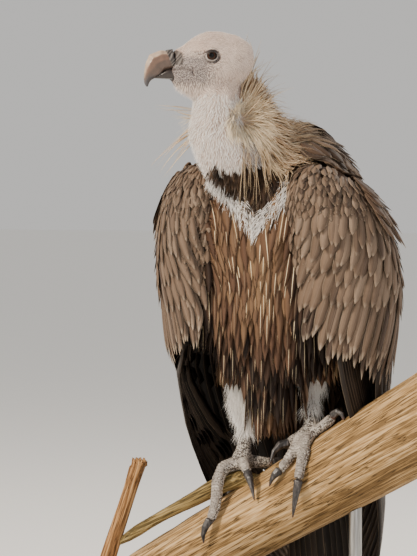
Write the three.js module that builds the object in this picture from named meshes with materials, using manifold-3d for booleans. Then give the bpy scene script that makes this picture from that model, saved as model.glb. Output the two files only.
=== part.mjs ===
// A life-size griffon vulture standing on a cut length of branch, held up by a plain display stand.
// Millimetres, +Z up. The bird faces -Y and its left side is +X.
// The origin is the middle of the base's underside.
import * as THREE from "three";
import { mergeVertices } from "three/addons/utils/BufferGeometryUtils.js";
import Module from "manifold-3d";

const wasm = await Module();
wasm.setup();

// ---------------------------------------------------------------- driving sizes
const GAP = 0.3; // clearance kept between neighbouring pieces

const BASE = { wide: 440, deep: 360, thick: 18, corner: 24, bevel: 2 };
const ROD = { radius: 9, places: [-85, 118], sides: 16 };

const LOG = {
  slope: THREE.MathUtils.degToRad(29.8), // rises towards the bird's left
  top: 303, // height of the bark under the feet
  radius: 54.5,
  growth: 0.038, // added radius for each millimetre along
  from: -255,
  to: 290,
};

const EYE = { radius: 10.5, apart: 57, forward: 2, height: 0 };
const HEAD = { x: -47, y: -119, z: 864, facing: [-0.829, -0.559] }; // midway between the eyes

// ---------------------------------------------------------------- colours
const finish = (color, roughness, metalness = 0) =>
  new THREE.MeshStandardMaterial({ color, roughness, metalness });
const FINISH = {
  stand: finish("#26241f", 0.5),
  steel: finish("#8c8c8a", 0.35, 0.9),
  wood: finish("#a8834f", 0.8),
  down: finish("#d9cdbd", 0.95),
  face: finish("#a9a29c", 0.8),
  horn: finish("#8d7f70", 0.35),
  claw: finish("#3a3735", 0.3),
  scale: finish("#a39c90", 0.6),
  eye: finish("#2c160b", 0.05),
  ruff: finish("#cdb389", 0.95),
  plumage: finish("#7b5f4a", 0.85),
  covert: finish("#81705f", 0.85),
  remex: finish("#3a322c", 0.75),
  trouser: finish("#e6e0d6", 0.95),
};

// ---------------------------------------------------------------- small maths
const vec = (x, y, z) => new THREE.Vector3(x, y, z);
const clamp = THREE.MathUtils.clamp;
const lerp = THREE.MathUtils.lerp;
const smooth = THREE.MathUtils.smoothstep;

// Rows of numbers, read as one smooth function of t from 0 to 1.
function along(rows) {
  const last = rows.length - 1;
  const row = (i) => rows[clamp(i, 0, last)];
  return (t) => {
    const place = clamp(t, 0, 1) * last;
    const i = Math.min(Math.floor(place), last - 1);
    const f = place - i;
    return rows[0].map((_, k) => {
      const [a, b, c, d] = [row(i - 1)[k], row(i)[k], row(i + 1)[k], row(i + 2)[k]];
      return b + 0.5 * f * (c - a + f * (2 * a - 5 * b + 4 * c - d + f * (3 * (b - c) + d - a)));
    });
  };
}

// Rows whose first number is a height, read by that height, straight from row to row.
function byHeight(rows) {
  const up = [...rows].sort((a, b) => a[0] - b[0]);
  return (z) => {
    const i = clamp(up.findIndex((r) => r[0] > z) - 1, 0, up.length - 2);
    const from = z >= up[up.length - 1][0] ? up.length - 2 : i;
    const f = clamp((z - up[from][0]) / (up[from + 1][0] - up[from][0]), 0, 1);
    return up[from].slice(1).map((v, k) => lerp(v, up[from + 1][k + 1], f));
  };
}

// ---------------------------------------------------------------- solids
// Rings of equal length, each a closed loop, joined into one closed body with a pole at each end.
function bodyOfRings(rings, startPole, endPole) {
  const sides = rings[0].length;
  const points = [startPole, ...rings.flat(), endPole];
  const faces = [];
  const at = (r, s) => 1 + r * sides + (s % sides);
  for (let s = 0; s < sides; s++) {
    faces.push(0, at(0, s + 1), at(0, s));
    faces.push(points.length - 1, at(rings.length - 1, s), at(rings.length - 1, s + 1));
    for (let r = 0; r + 1 < rings.length; r++) {
      faces.push(at(r, s), at(r, s + 1), at(r + 1, s + 1), at(r, s), at(r + 1, s + 1), at(r + 1, s));
    }
  }
  const made = solidOf(points, faces);
  return made.volume() > 0 ? made : solidOf(points, faces.reverse());
}

// Level sections from the top down, each an anticlockwise loop that may bend round, closed by flat ends.
// Each square between them is split along its shorter diagonal, so that a thin wall's two sides match.
function bodyOfSections(sections) {
  const sides = sections[0].length;
  const points = sections.flat();
  const last = points.length - sides;
  const apart = (a, b) => points[a].distanceTo(points[b]);
  const faces = [];
  for (let start = 0; start < last; start += sides) {
    for (let s = 0; s < sides; s++) {
      const [here, next] = [start + s, start + ((s + 1) % sides)];
      const [below, beyond] = [here + sides, next + sides];
      if (apart(here, beyond) < apart(next, below)) faces.push(here, beyond, next, here, below, beyond);
      else faces.push(here, below, next, next, below, beyond);
    }
  }
  const flat = (loop) => THREE.ShapeUtils.triangulateShape(loop.map((p) => new THREE.Vector2(p.x, p.y)), []);
  faces.push(...flat(sections[0]).flat());
  faces.push(...flat(sections.at(-1)).flatMap(([a, b, c]) => [last + c, last + b, last + a]));
  return solidOf(points, faces);
}

function solidOf(points, faces) {
  return new wasm.Manifold(
    new wasm.Mesh({
      numProp: 3,
      vertProperties: new Float32Array(points.flatMap((p) => [p.x, p.y, p.z])),
      triVerts: new Uint32Array(faces),
    }),
  );
}

// A round-ended body along a smooth path. Each row is x, y, z of the middle, then the half-width across,
// and the reach to the front and to the back of the middle. `across` is the width's direction.
function loft(rows, options = {}) {
  const { rings = 12, sides = 14, ends = 2, caps = [0.8, 0.8], power = 2, grow = 0 } = options;
  const across = options.across ?? vec(1, 0, 0);
  const read = along(rows);
  const middle = (t) => vec(...read(t).slice(0, 3));
  const ring = (t, scale, push) => {
    const [wide, front, back] = read(t).slice(3).map((v) => (v + grow) * scale);
    const way = middle(Math.min(1, t + 1e-3)).sub(middle(Math.max(0, t - 1e-3))).normalize();
    const side = across.clone().addScaledVector(way, -across.dot(way)).normalize();
    const fore = side.clone().cross(way);
    const centre = middle(t).addScaledVector(way, push);
    return Array.from({ length: sides }, (_, s) => {
      const angle = (2 * Math.PI * s) / sides;
      const [c, n] = [Math.cos(angle), Math.sin(angle)];
      const bulge = (v) => Math.sign(v) * Math.abs(v) ** (2 / power);
      return centre
        .clone()
        .addScaledVector(side, bulge(c) * wide)
        .addScaledVector(fore, bulge(n) * (n > 0 ? front : back));
    });
  };
  const reach = (t, share) => (Math.min(...read(t).slice(3)) + grow) * share;
  const cap = (t, share, sign) =>
    Array.from({ length: ends }, (_, j) => {
      const turn = ((j + 1) / (ends + 1)) * (Math.PI / 2);
      return ring(t, Math.sin(turn), sign * reach(t, share) * Math.cos(turn));
    });
  const body = Array.from({ length: rings }, (_, i) => ring(i / (rings - 1), 1, 0));
  const pole = (t, share, sign) => {
    const way = middle(Math.min(1, t + 1e-3)).sub(middle(Math.max(0, t - 1e-3))).normalize();
    return middle(t).addScaledVector(way, sign * reach(t, share));
  };
  return bodyOfRings(
    [...cap(0, caps[0], -1), ...body, ...cap(1, caps[1], 1).reverse()],
    pole(0, caps[0], -1),
    pole(1, caps[1], 1),
  );
}

// A round limb, such as a toe or a twig: points it passes through, and its radius at even steps.
function limb(points, radii, options = {}) {
  const curve = new THREE.CatmullRomCurve3(points.map((p) => vec(...p)), false, "centripetal");
  const radius = along(radii.map((r) => [r]));
  const steps = options.steps ?? points.length + 2;
  const rows = Array.from({ length: steps + 1 }, (_, i) => {
    const p = curve.getPoint(i / steps);
    const r = radius(i / steps)[0];
    return [p.x, p.y, p.z, r, r * (options.depth ?? 1), r * (options.depth ?? 1)];
  });
  const leaning = vec(...points[points.length - 1]).sub(vec(...points[0])).normalize();
  const across = Math.abs(leaning.x) > 0.8 ? vec(0, 1, 0) : vec(1, 0, 0);
  return loft(rows, { rings: steps + 1, sides: 7, ends: 1, across, caps: [0.6, 0.6], ...options });
}

// A three.js geometry as a solid.
function solidFrom(geometry) {
  geometry.deleteAttribute("normal");
  geometry.deleteAttribute("uv");
  const g = mergeVertices(geometry, 1e-3);
  const triVerts = new Uint32Array(g.index.array);
  const vertProperties = g.attributes.position.array;
  return new wasm.Manifold(new wasm.Mesh({ numProp: 3, vertProperties, triVerts }));
}

// ---------------------------------------------------------------- the perch
// A point by its distance along the log, its angle round it (0 on top, 90 towards the bird's front)
// and its height above the bark.
function onLog(distance, degrees, above = 0) {
  const [c, s] = [Math.cos(LOG.slope), Math.sin(LOG.slope)];
  const radius = LOG.radius + LOG.growth * distance;
  const angle = THREE.MathUtils.degToRad(degrees);
  const up = (radius + above) * Math.cos(angle);
  const height = LOG.top - LOG.radius / c;
  return [distance * c - up * s, -(radius + above) * Math.sin(angle), height + distance * s + up * c];
}

function log(grow = 0) {
  const steps = 7;
  const rows = Array.from({ length: steps + 1 }, (_, i) => {
    const distance = lerp(LOG.from, LOG.to, i / steps);
    const middle = onLog(distance, 0, -(LOG.radius + LOG.growth * distance));
    const swell = 1 + 0.012 * Math.sin(i * 1.7) + 0.01 * Math.sin(i * 0.9 + 1);
    const r = (LOG.radius + LOG.growth * distance) * swell;
    return [...middle, r, r, r];
  });
  const across = vec(0, 1, 0);
  return loft(rows, { rings: steps + 1, sides: 14, across, caps: [0.02, 0.02], ends: 1, grow });
}

// A side shoot that leaves the log low on the bird's right, and the broken stem that it meets.
const SHOOT = {
  path: [
    [-20, -8, 283],
    [-57, -19, 278],
    [-90, -21, 264],
    [-122, -23, 246],
    [-155, -25, 229],
    [-190, -27, 209],
    [-214, -28, 194],
    [-234, -28, 181],
  ],
  radii: [11, 13, 12.5, 10.5, 8.5, 8, 8.5, 4],
};
const STUB = {
  path: [
    [-258, -28, 143],
    [-247, -28, 174],
    [-219, -28, 251],
    [-208, -28, 283],
    [-201, -28, 303],
  ],
  radii: [12.5, 12, 10.5, 11.5, 12.5],
};

// ---------------------------------------------------------------- the head, in its own frame
const facing = vec(HEAD.facing[0], HEAD.facing[1], 0).normalize();
const leftOfHead = vec(0, 0, 1).cross(facing);
const headPoint = (forward, height, left = 0) =>
  vec(HEAD.x, HEAD.y, HEAD.z + height).addScaledVector(facing, forward).addScaledVector(leftOfHead, left);

// Rows of forward, height, half-width, reach above and reach below, made into loft rows.
const headRows = (rows) =>
  rows.map(([forward, height, ...reaches]) => [...headPoint(forward, height).toArray(), ...reaches]);

const SKULL = [
  [-45, -22, 24, 27, 31],
  [-36, -17, 31, 37, 42],
  [-20, -13, 36.5, 44, 46],
  [0, -13, 37, 47, 48],
  [18, -14, 32, 42, 42],
  [32, -14, 25, 36, 34],
  [44, -13, 18, 30, 25],
  [53, -12, 15, 22, 21.5],
];
const UPPER_BILL = [
  [50, -5, 14, 13.5, 14],
  [60, -6.5, 13.4, 13, 13],
  [70, -9, 12.4, 14, 16],
  [78.5, -17.5, 10, 16, 11.5],
  [84.5, -27.5, 6.8, 8, 5.5],
  [86.3, -35, 3.8, 4, 3.2],
  [85.6, -41, 1.3, 1.3, 1.3],
];
const LOWER_BILL = [
  [46, -27.5, 12, 5, 8],
  [58, -27, 10.5, 4.5, 5.5],
  [67, -27.5, 8, 3.5, 3.5],
  [75, -28.5, 5, 2, 2],
];

// ---------------------------------------------------------------- trunk, neck and ruff
// x, y, z of the middle, half-width, reach to the front, reach to the back
const TRUNK = [
  [-2, 44, 748, 66, 52, 56],
  [-2, 28, 716, 102, 84, 98],
  [-2, 12, 670, 115, 110, 120],
  [0, 8, 612, 120, 117, 120],
  [0, 12, 555, 116, 116, 116],
  [-2, 20, 500, 98, 106, 100],
  [-6, 30, 456, 72, 92, 84],
  [-10, 36, 420, 46, 68, 72],
  [-17, 38, 384, 28, 42, 62],
  [-20, 36, 342, 14, 18, 36],
];
const NECK = [
  [-16, -66, 700, 46, 44, 46],
  [-29, -96, 728, 45, 43, 45],
  [-43.5, -112, 760, 40, 41, 40],
  [-40, -114, 788, 36, 37, 36],
  [-37, -112, 812, 36, 37, 36],
  [-40, -113, 834, 27, 30, 27],
];
// The ruff's collar leans back: its middle moves away from the bird's right.
const RUFF = [
  [-18, -68, 708, 46, 42, 40],
  [-16, -64, 732, 62, 50, 62],
  [-18, -66, 758, 64, 46, 70],
  [-18, -69, 786, 60, 42, 67],
  [-14, -72, 812, 49, 34, 54],
  [-4, -64, 834, 25, 21, 29],
];

// ---------------------------------------------------------------- the folded wings
// Cross-sections of the closed bird, by height: middle y, half-width, half-depth.
const envelope = byHeight([
  [722, -66, 120, 24],
  [712, -56, 137, 52],
  [690, -34, 158, 96],
  [661, -15, 174, 124],
  [599, 6, 187, 140],
  [557, 12, 190, 133],
  [502, 16, 182, 125],
  [446, 12, 170, 119],
  [404, 16, 160, 112],
  [349, 34, 157, 104],
  [286, 62, 147, 92],
  [200, 98, 122, 74],
  [120, 134, 98, 52],
  [66, 156, 86, 34],
]);

const TIGHTEST = 0.8; // the most of the envelope's radius of bend that a plate's wall may take up

// A plate that lies along the envelope on the bird's left. Each level is height, angle of its front and
// rear edges (0 is outermost, negative to the front), inset below the envelope at each, and thickness.
function wingPlate(levels, { chord = 7, rings = 11, blunt = 0.22, grow = 0 } = {}) {
  const read = along(levels);
  const section = (t) => {
    const [z, front, rear, atFront, atRear, thick] = read(t);
    const [middle, wide, deep] = envelope(z);
    const angle = (share) => {
      const stretch = (1.5 * grow) / deep;
      return THREE.MathUtils.degToRad(lerp(front, rear, share)) + stretch * (2 * share - 1);
    };
    const spot = (a, depth) => {
      const normal = vec(Math.cos(a) / wide, Math.sin(a) / deep, 0).normalize();
      return vec(wide * Math.cos(a), middle + deep * Math.sin(a), z).addScaledVector(normal, -depth);
    };
    const bend = (a) => Math.hypot(wide * Math.sin(a), deep * Math.cos(a)) ** 3 / (wide * deep);
    const swell = (q) => (q < blunt ? Math.sqrt(1 - (1 - q / blunt) ** 2) : lerp(1, 0.3, smooth(q, blunt, 1)));
    const outer = [];
    const inner = [];
    for (let i = 0; i <= chord; i++) {
      const q = (i / chord) ** 1.3;
      const a = angle(q);
      const wall = Math.min(thick, TIGHTEST * bend(a));
      const half = (wall / 2) * swell(q) * (i === chord ? 0.4 : 1) + grow;
      const core = lerp(atFront, atRear, q) + wall / 2;
      outer.push(spot(a, core - half));
      if (i > 0) inner.unshift(spot(a, core + half));
    }
    return [...outer, ...inner];
  };
  const sections = Array.from({ length: rings }, (_, i) => section(i / (rings - 1)));
  sections[0].forEach((p) => (p.z += grow));
  sections[rings - 1].forEach((p) => (p.z -= grow));
  return bodyOfSections(sections);
}

const COVERTS = [
  [722, -48, -22, 0, 0, 20],
  [714, -60, -6, 0, 0, 40],
  [698, -66, 14, 0, 0, 50],
  [670, -68, 34, 0, 0, 54],
  [628, -68, 46, 0, 0, 54],
  [580, -68, 56, 0, 0, 50],
  [530, -66, 66, 0, 0, 40],
  [488, -64, 75, 0, 0, 30],
  [456, -60, 80, 2, 2, 18],
  [442, -54, 80, 6, 6, 8],
];
const SECONDARIES = [
  [470, -14, 80, 7, 7, 9],
  [400, -12, 86, 3, 3, 9],
  [340, -4, 88, 3, 3, 8],
  [290, 8, 88, 4, 4, 7],
  [255, 26, 86, 5, 5, 5],
  [238, 44, 80, 6, 6, 3],
];
const PRIMARIES = [
  [470, -46, -20, 8, 8, 9],
  [404, -38, -15, 3, 4, 9],
  [345, -32, 10, 2, 14, 9],
  [290, -24, 44, 2, 15, 8],
  [230, -12, 62, 3, 14, 7],
  [170, 4, 70, 5, 12, 6],
  [120, 22, 72, 7, 10, 5],
  [84, 38, 68, 8, 8, 3],
];

// ---------------------------------------------------------------- tail
const TAIL = [
  [0, 104, 378, 38, 9, 9],
  [0, 118, 318, 50, 6, 6],
  [0, 134, 250, 56, 4.5, 4.5],
  [0, 150, 180, 60, 3.5, 3.5],
  [0, 164, 112, 58, 2.5, 2.5],
  [0, 168, 92, 48, 1.8, 1.8],
];

// ---------------------------------------------------------------- legs
// Thigh and cuff rows are as in a body: x, y, z, half-width, front, back.
const LEG = {
  right: {
    thigh: [
      [-58, 24, 492, 46, 50, 50],
      [-60, 6, 450, 37, 42, 40],
      [-58, 8, 420, 26, 27, 27],
      [-56, 18, 398, 21, 20, 20],
    ],
    cuff: [
      [-60, 16, 418, 20, 18, 18],
      [-60, 18, 400, 27, 25, 22],
      [-58, 15, 376, 25, 22, 20],
      [-54, 11, 353, 14, 13, 14],
    ],
    shank: { path: [[-54, 16, 368], [-53, 9, 345], [-52, 2, 322], [-52, -6, 307]], radii: [11, 10.4, 11, 15] },
    pad: [[-58, 4, 300, 15, 13, 13], [-52, -8, 301, 17, 13, 12], [-46, -16, 299, 13, 11, 11]],
    toes: {
      middle: [[-58, -18, 300], [-70, -34, 293], [-72, -45, 268], [-71, -48, 246], [-77, -57, 223]],
      inner: [[-46, -16, 301], [-35, -32, 300], [-27, -42, 293]],
      outer: [[-60, 6, 299], [-78, 22, 287], [-92, 38, 264]],
      hind: [[-46, 6, 301], [-33, 16, 300], [-19, 24, 300]],
    },
    claws: {
      middle: [[-77, -58, 224], [-84, -63, 209], [-86, -58, 192]],
      inner: [[-25, -45, 291], [-15, -55, 279], [-9, -57, 256]],
      outer: [[-93, 40, 262], [-99, 53, 249], [-99, 56, 228]],
      hind: [[-17, 25, 300], [-5, 33, 301], [3, 47, 290]],
    },
  },
  left: {
    thigh: [
      [58, 26, 500, 46, 50, 50],
      [57, 12, 460, 36, 40, 40],
      [52, 12, 434, 25, 26, 26],
      [48, 16, 414, 19, 18, 18],
    ],
    cuff: [
      [46, 20, 426, 17, 16, 16],
      [46, 18, 412, 17, 16, 16],
      [46, 15, 400, 14, 13, 13],
      [47, 12, 390, 11, 11, 11],
    ],
    shank: { path: [[46, 13, 402], [48, 9, 380], [50, 3, 360], [52, -1, 350]], radii: [10.6, 10.2, 11.5, 14] },
    pad: [[48, 8, 345, 14, 12, 12], [52, -6, 346, 16, 12, 12], [58, -14, 343, 13, 11, 11]],
    toes: {
      middle: [[56, -18, 343], [60, -36, 331], [61.5, -54, 310], [61, -63, 288]],
      inner: [[46, -16, 344], [44, -32, 330], [36, -44, 310], [27, -50, 298]],
      outer: [[62, -6, 346], [77, -12, 358], [88, -12, 369]],
      hind: [[44, 4, 345], [33, -4, 339], [23, -13, 331]],
    },
    claws: {
      middle: [[61, -64.5, 286], [57, -66, 262], [50, -59, 235]],
      inner: [[26, -51, 297], [19, -56, 289], [14, -57, 276]],
      outer: [[89, -13, 372], [101, -15, 379], [111, -18, 362]],
      hind: [[22, -14, 331], [10, -24, 327], [5, -36, 304]],
    },
  },
};
const TOE_RADII = {
  middle: [11.2, 10, 9, 7.4],
  inner: [10.3, 9.4, 8.4, 7.4],
  outer: [10.5, 9.2, 8],
  hind: [10.2, 9.4, 8],
};
const CLAW_RADII = { middle: [6.6, 4.8, 1.1], inner: [6.6, 4.8, 1.1], outer: [5.8, 4.2, 1], hind: [6.8, 5, 1.1] };

// ---------------------------------------------------------------- assembly
const model = new THREE.Group();

function place(name, solid, material) {
  const mesh = solid.getMesh();
  const step = mesh.numProp;
  const positions = new Float32Array(mesh.numVert * 3);
  for (let i = 0; i < mesh.numVert; i++) {
    positions.set(mesh.vertProperties.subarray(i * step, i * step + 3), i * 3);
  }
  const geometry = new THREE.BufferGeometry()
    .setAttribute("position", new THREE.BufferAttribute(positions, 3))
    .setIndex(new THREE.BufferAttribute(mesh.triVerts, 1));
  geometry.computeVertexNormals();
  const node = new THREE.Mesh(geometry, material);
  node.name = name;
  model.add(node);
}

// The solid less its neighbours, each given a little larger than life. Crumbs cut loose are dropped.
function clearOf(solid, ...neighbours) {
  const cut = neighbours.reduce((left, other) => left.subtract(other), solid);
  return cut.simplify(GAP / 3).decompose().sort((a, b) => b.volume() - a.volume())[0];
}

const mirrored = (solid) => solid.mirror([1, 0, 0]);

// ---- stand
const outline = new THREE.Shape();
{
  const [x, y, r] = [BASE.wide / 2 - BASE.bevel, BASE.deep / 2 - BASE.bevel, BASE.corner];
  outline.moveTo(-x + r, -y);
  outline.lineTo(x - r, -y).absarc(x - r, -y + r, r, -Math.PI / 2, 0);
  outline.lineTo(x, y - r).absarc(x - r, y - r, r, 0, Math.PI / 2);
  outline.lineTo(-x + r, y).absarc(-x + r, y - r, r, Math.PI / 2, Math.PI);
  outline.lineTo(-x, -y + r).absarc(-x + r, -y + r, r, Math.PI, 1.5 * Math.PI);
}
const slab = new THREE.ExtrudeGeometry(outline, {
  depth: BASE.thick - 2 * BASE.bevel,
  bevelThickness: BASE.bevel,
  bevelSize: BASE.bevel,
  bevelSegments: 1,
  curveSegments: 3,
});
slab.translate(0, 0, BASE.bevel);
place("stand_base", solidFrom(slab), FINISH.stand);

const thickLog = log(GAP);
ROD.places.forEach((x, i) => {
  const [, , top] = onLog(x / Math.cos(LOG.slope), 0, -LOG.radius);
  const height = top - BASE.thick - GAP;
  const rod = new THREE.CylinderGeometry(ROD.radius, ROD.radius, height, ROD.sides);
  rod.rotateX(Math.PI / 2).translate(x, 0, BASE.thick + GAP + height / 2);
  place(`stand_rod_${i + 1}`, clearOf(solidFrom(rod), thickLog), FINISH.steel);
});

// ---- perch
const stub = (grow) => limb(STUB.path, STUB.radii, { caps: [0.1, 0.1], sides: 8, grow });
const shoot = (grow) => limb(SHOOT.path, SHOOT.radii, { sides: 8, grow });
place("perch_log", log(), FINISH.wood);
place("perch_stub", stub(0), FINISH.wood);
place("perch_shoot", clearOf(shoot(0), thickLog, stub(GAP)), FINISH.wood);
const perch = [thickLog, shoot(GAP)];

// ---- head
const headLoft = (rows, options) => loft(headRows(rows), { across: leftOfHead, ends: 1, ...options });
const skull = (grow = 0) => headLoft(SKULL, { rings: 10, sides: 12, power: 2.15, caps: [0.4, 0.1], grow });
const upperBill = (grow = 0) => headLoft(UPPER_BILL, { rings: 9, sides: 10, power: 2.2, caps: [0.1, 0.8], grow });
const lowerBill = (grow = 0) => headLoft(LOWER_BILL, { rings: 5, sides: 8, caps: [0.1, 0.9], grow });
const eye = (sign, grow = 0) => {
  const ball = new THREE.SphereGeometry(EYE.radius + grow, 10, 7);
  const centre = headPoint(EYE.forward, EYE.height, (sign * EYE.apart) / 2);
  return solidFrom(ball.translate(centre.x, centre.y, centre.z));
};
const neck = (grow = 0) => loft(NECK, { rings: 8, sides: 10, caps: [0.5, 0.7], ends: 1, grow });
place("bill_upper", upperBill(), FINISH.horn);
place("bill_lower", clearOf(lowerBill(), upperBill(GAP)), FINISH.horn);
place("eye_left", eye(1), FINISH.eye);
place("eye_right", eye(-1), FINISH.eye);
place("head", clearOf(skull(), upperBill(GAP), lowerBill(GAP), eye(1, GAP), eye(-1, GAP)), FINISH.face);

// ---- wings
const wing = (grow = 0) => wingPlate(COVERTS, { grow });
const secondaries = (grow = 0) => wingPlate(SECONDARIES, { chord: 7, rings: 7, blunt: 0.06, grow });
const primaries = (grow = 0) => wingPlate(PRIMARIES, { chord: 6, rings: 9, blunt: 0.1, grow });
const ruff = (grow = 0) => loft(RUFF, { rings: 6, sides: 12, caps: [0.4, 0.4], ends: 1, grow });
for (const [side, turn] of [["left", (s) => s], ["right", mirrored]]) {
  const [cover, flight] = [turn(wing(2 * GAP)), turn(secondaries(GAP))];
  place(`wing_${side}_coverts`, clearOf(turn(wing()), thickLog, neck(GAP), ruff(GAP)), FINISH.covert);
  place(`wing_${side}_secondaries`, clearOf(turn(secondaries()), cover, thickLog), FINISH.remex);
  place(`wing_${side}_primaries`, clearOf(turn(primaries()), cover, flight, thickLog), FINISH.remex);
}
const bothSides = (solid) => [solid, mirrored(solid)];
const shoulders = bothSides(wing(2 * GAP));
const folded = [...shoulders, ...bothSides(secondaries(2 * GAP)), ...bothSides(primaries(2 * GAP))];

// ---- neck, ruff, trunk and tail
const thigh = (leg, grow = 0) => loft(leg.thigh, { rings: 6, sides: 10, caps: [0.6, 0.5], ends: 1, grow });
const cuff = (leg, grow = 0) => loft(leg.cuff, { rings: 5, sides: 10, caps: [0.6, 0.5], ends: 1, grow });
const legs = Object.values(LEG).map((leg) => thigh(leg, GAP));
const trunk = (grow = 0) => loft(TRUNK, { rings: 10, sides: 14, power: 2.3, caps: [0.5, 0.6], ends: 1, grow });
const tail = loft(TAIL, { rings: 6, sides: 10, power: 3, caps: [0.5, 0.5], ends: 1 });
place("neck", clearOf(neck(), skull(GAP)), FINISH.down);
place("ruff", clearOf(ruff(), neck(GAP), skull(GAP)), FINISH.ruff);
place("trunk", clearOf(trunk(), neck(GAP), ruff(GAP), ...shoulders, ...legs), FINISH.plumage);
place("tail", clearOf(tail, trunk(GAP), ...folded), FINISH.remex);

// ---- legs
for (const [side, leg] of Object.entries(LEG)) {
  const shank = (grow = 0) => limb(leg.shank.path, leg.shank.radii, { caps: [0.5, 0.5], steps: 3, grow });
  const pad = loft(leg.pad, { rings: 3, sides: 6, caps: [0.8, 0.8], ends: 1 });
  const toes = Object.entries(leg.toes).map(([toe, path]) =>
    limb(path, TOE_RADII[toe], { caps: [0.5, 0.7], steps: path.length, sides: 6 }),
  );
  const claws = Object.entries(leg.claws).map(([toe, path]) => [
    toe,
    (grow = 0) => limb(path, CLAW_RADII[toe], { sides: 6, caps: [0.4, 0.8], steps: 3, depth: 1.15, grow }),
  ]);
  const foot = toes.reduce((whole, toe) => whole.add(toe), pad);
  const sheaths = claws.map(([, claw]) => claw(GAP));
  place(`thigh_${side}`, clearOf(thigh(leg), ...folded), FINISH.plumage);
  place(`cuff_${side}`, clearOf(cuff(leg), thigh(leg, GAP), trunk(GAP)), FINISH.trouser);
  place(`shank_${side}`, clearOf(shank(), cuff(leg, GAP), thigh(leg, GAP), ...perch), FINISH.scale);
  place(`foot_${side}`, clearOf(foot, shank(GAP), ...sheaths, ...perch), FINISH.scale);
  for (const [toe, claw] of claws) {
    place(`claw_${side}_${toe}`, clearOf(claw(), ...perch), FINISH.claw);
  }
}

export default model;
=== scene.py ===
"""A griffon vulture on its cut branch, as a still museum model."""

import math

import bmesh
import bpy
import numpy as np
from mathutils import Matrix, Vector
from mathutils.bvhtree import BVHTree


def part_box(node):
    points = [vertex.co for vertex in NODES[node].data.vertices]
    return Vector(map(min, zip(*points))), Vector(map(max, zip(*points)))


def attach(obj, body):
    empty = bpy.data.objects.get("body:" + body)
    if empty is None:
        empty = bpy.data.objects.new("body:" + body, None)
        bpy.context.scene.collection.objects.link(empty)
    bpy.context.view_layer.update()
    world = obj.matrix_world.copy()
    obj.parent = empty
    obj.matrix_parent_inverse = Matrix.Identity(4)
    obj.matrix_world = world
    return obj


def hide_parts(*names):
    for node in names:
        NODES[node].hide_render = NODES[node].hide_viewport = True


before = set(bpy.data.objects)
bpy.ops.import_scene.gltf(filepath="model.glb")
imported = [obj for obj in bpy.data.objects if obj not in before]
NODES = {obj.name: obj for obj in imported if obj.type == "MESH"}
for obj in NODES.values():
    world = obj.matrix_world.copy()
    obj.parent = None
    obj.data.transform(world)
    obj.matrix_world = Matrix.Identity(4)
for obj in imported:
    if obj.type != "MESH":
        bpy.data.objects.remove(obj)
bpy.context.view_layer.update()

MM = 0.001
UP = np.array([0.0, 0.0, 1.0])
SIDES = {"left": 1.0, "right": -1.0}

# ---------------------------------------------------------------- driving sizes, in millimetres
SKIN_GRID = 4.6  # spacing of the skin's first mesh
WING_HEM = 500.0  # the height down to which the folded wing is flesh as well as feather
PATCH = 0.003  # each tuft's share of the bake map, as a part of its width
HEAD_CENTRE = np.array([-47.0, -119.0, 864.0])
HEAD_FORWARD = np.array([-0.829, -0.559, 0.0])
HEAD_LEFT = np.array([0.559, -0.829, 0.0])
EYE_RADIUS = 10.5
EYE_APART = 28.5
EYE_FORWARD = 2.0
# how deep the skin lies inside each flesh solid, which is the depth of its coat
COAT = {
    "head": 0.7, "neck": 5.0, "ruff": 13.0, "trunk": 9.0,
    "coverts": 8.0, "thigh": 7.0, "cuff": 8.0, "leg": 0.0,
}

rng = np.random.default_rng(11)


# ---------------------------------------------------------------- numbers and fields
def unit(v):
    return v / np.maximum(np.linalg.norm(v, axis=-1, keepdims=True), 1e-9)


def ramp(x, low, high):
    t = np.clip((x - low) / (high - low), 0, 1)
    return t * t * (3 - 2 * t)


def hill(*offsets):
    """1 where every offset is 0, falling smoothly to about a third where one of them is 1."""
    return np.exp(-sum(v**2 for v in offsets))


def across(v, n):
    """The part of v that lies in the surface whose normal is n."""
    return v - (v * n).sum(-1, keepdims=True) * n


def head_axes(points):
    """Forward, left and height of points in the head's own frame, in millimetres."""
    p = points / MM - HEAD_CENTRE
    return p @ HEAD_FORWARD, p @ HEAD_LEFT, p[..., 2]


def vertices_of(mesh):
    co = np.empty(len(mesh.vertices) * 3)
    mesh.vertices.foreach_get("co", co)
    return co.reshape(-1, 3)


def normals_of(mesh):
    no = np.empty(len(mesh.vertices) * 3)
    mesh.vertex_normals.foreach_get("vector", no)
    return no.reshape(-1, 3)


class Ground:
    """A surface that feathers grow from: nearest points with smooth normals."""

    def __init__(self, mesh):
        self.points = vertices_of(mesh)
        self.normals = normals_of(mesh)
        self.faces = [tuple(p.vertices) for p in mesh.polygons]
        self.tree = BVHTree.FromPolygons(self.points.tolist(), self.faces)

    def nearest(self, points):
        place, normal = np.empty_like(points), np.empty_like(points)
        for i, p in enumerate(points):
            spot, _, face, _ = self.tree.find_nearest(Vector(p))
            place[i] = spot
            normal[i] = self.normals[list(self.faces[face])].mean(0)
        return place, unit(normal)


# ---------------------------------------------------------------- meshes
def move_to(mesh, points):
    """Gives a mesh's vertices new places."""
    mesh.vertices.foreach_set("co", points.ravel())
    mesh.update()


def smooth_shaded(mesh):
    mesh.polygons.foreach_set("use_smooth", np.ones(len(mesh.polygons), dtype=bool))


def placed(name, mesh):
    """A new object for a mesh, a lamp or a camera."""
    piece = bpy.data.objects.new(name, mesh)
    bpy.context.collection.objects.link(piece)
    return piece


def dress(piece, material, slot, *nodes):
    """Gives a piece its finish and its body, and hides the CAD nodes that it stands for. The slot is not
    used.
    """
    piece.data.materials.clear()
    piece.data.materials.append(material)
    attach(piece, "root")
    if nodes:
        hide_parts(*nodes)


def select_only(piece):
    bpy.ops.object.select_all(action="DESELECT")
    bpy.context.view_layer.objects.active = piece
    piece.select_set(True)


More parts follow.
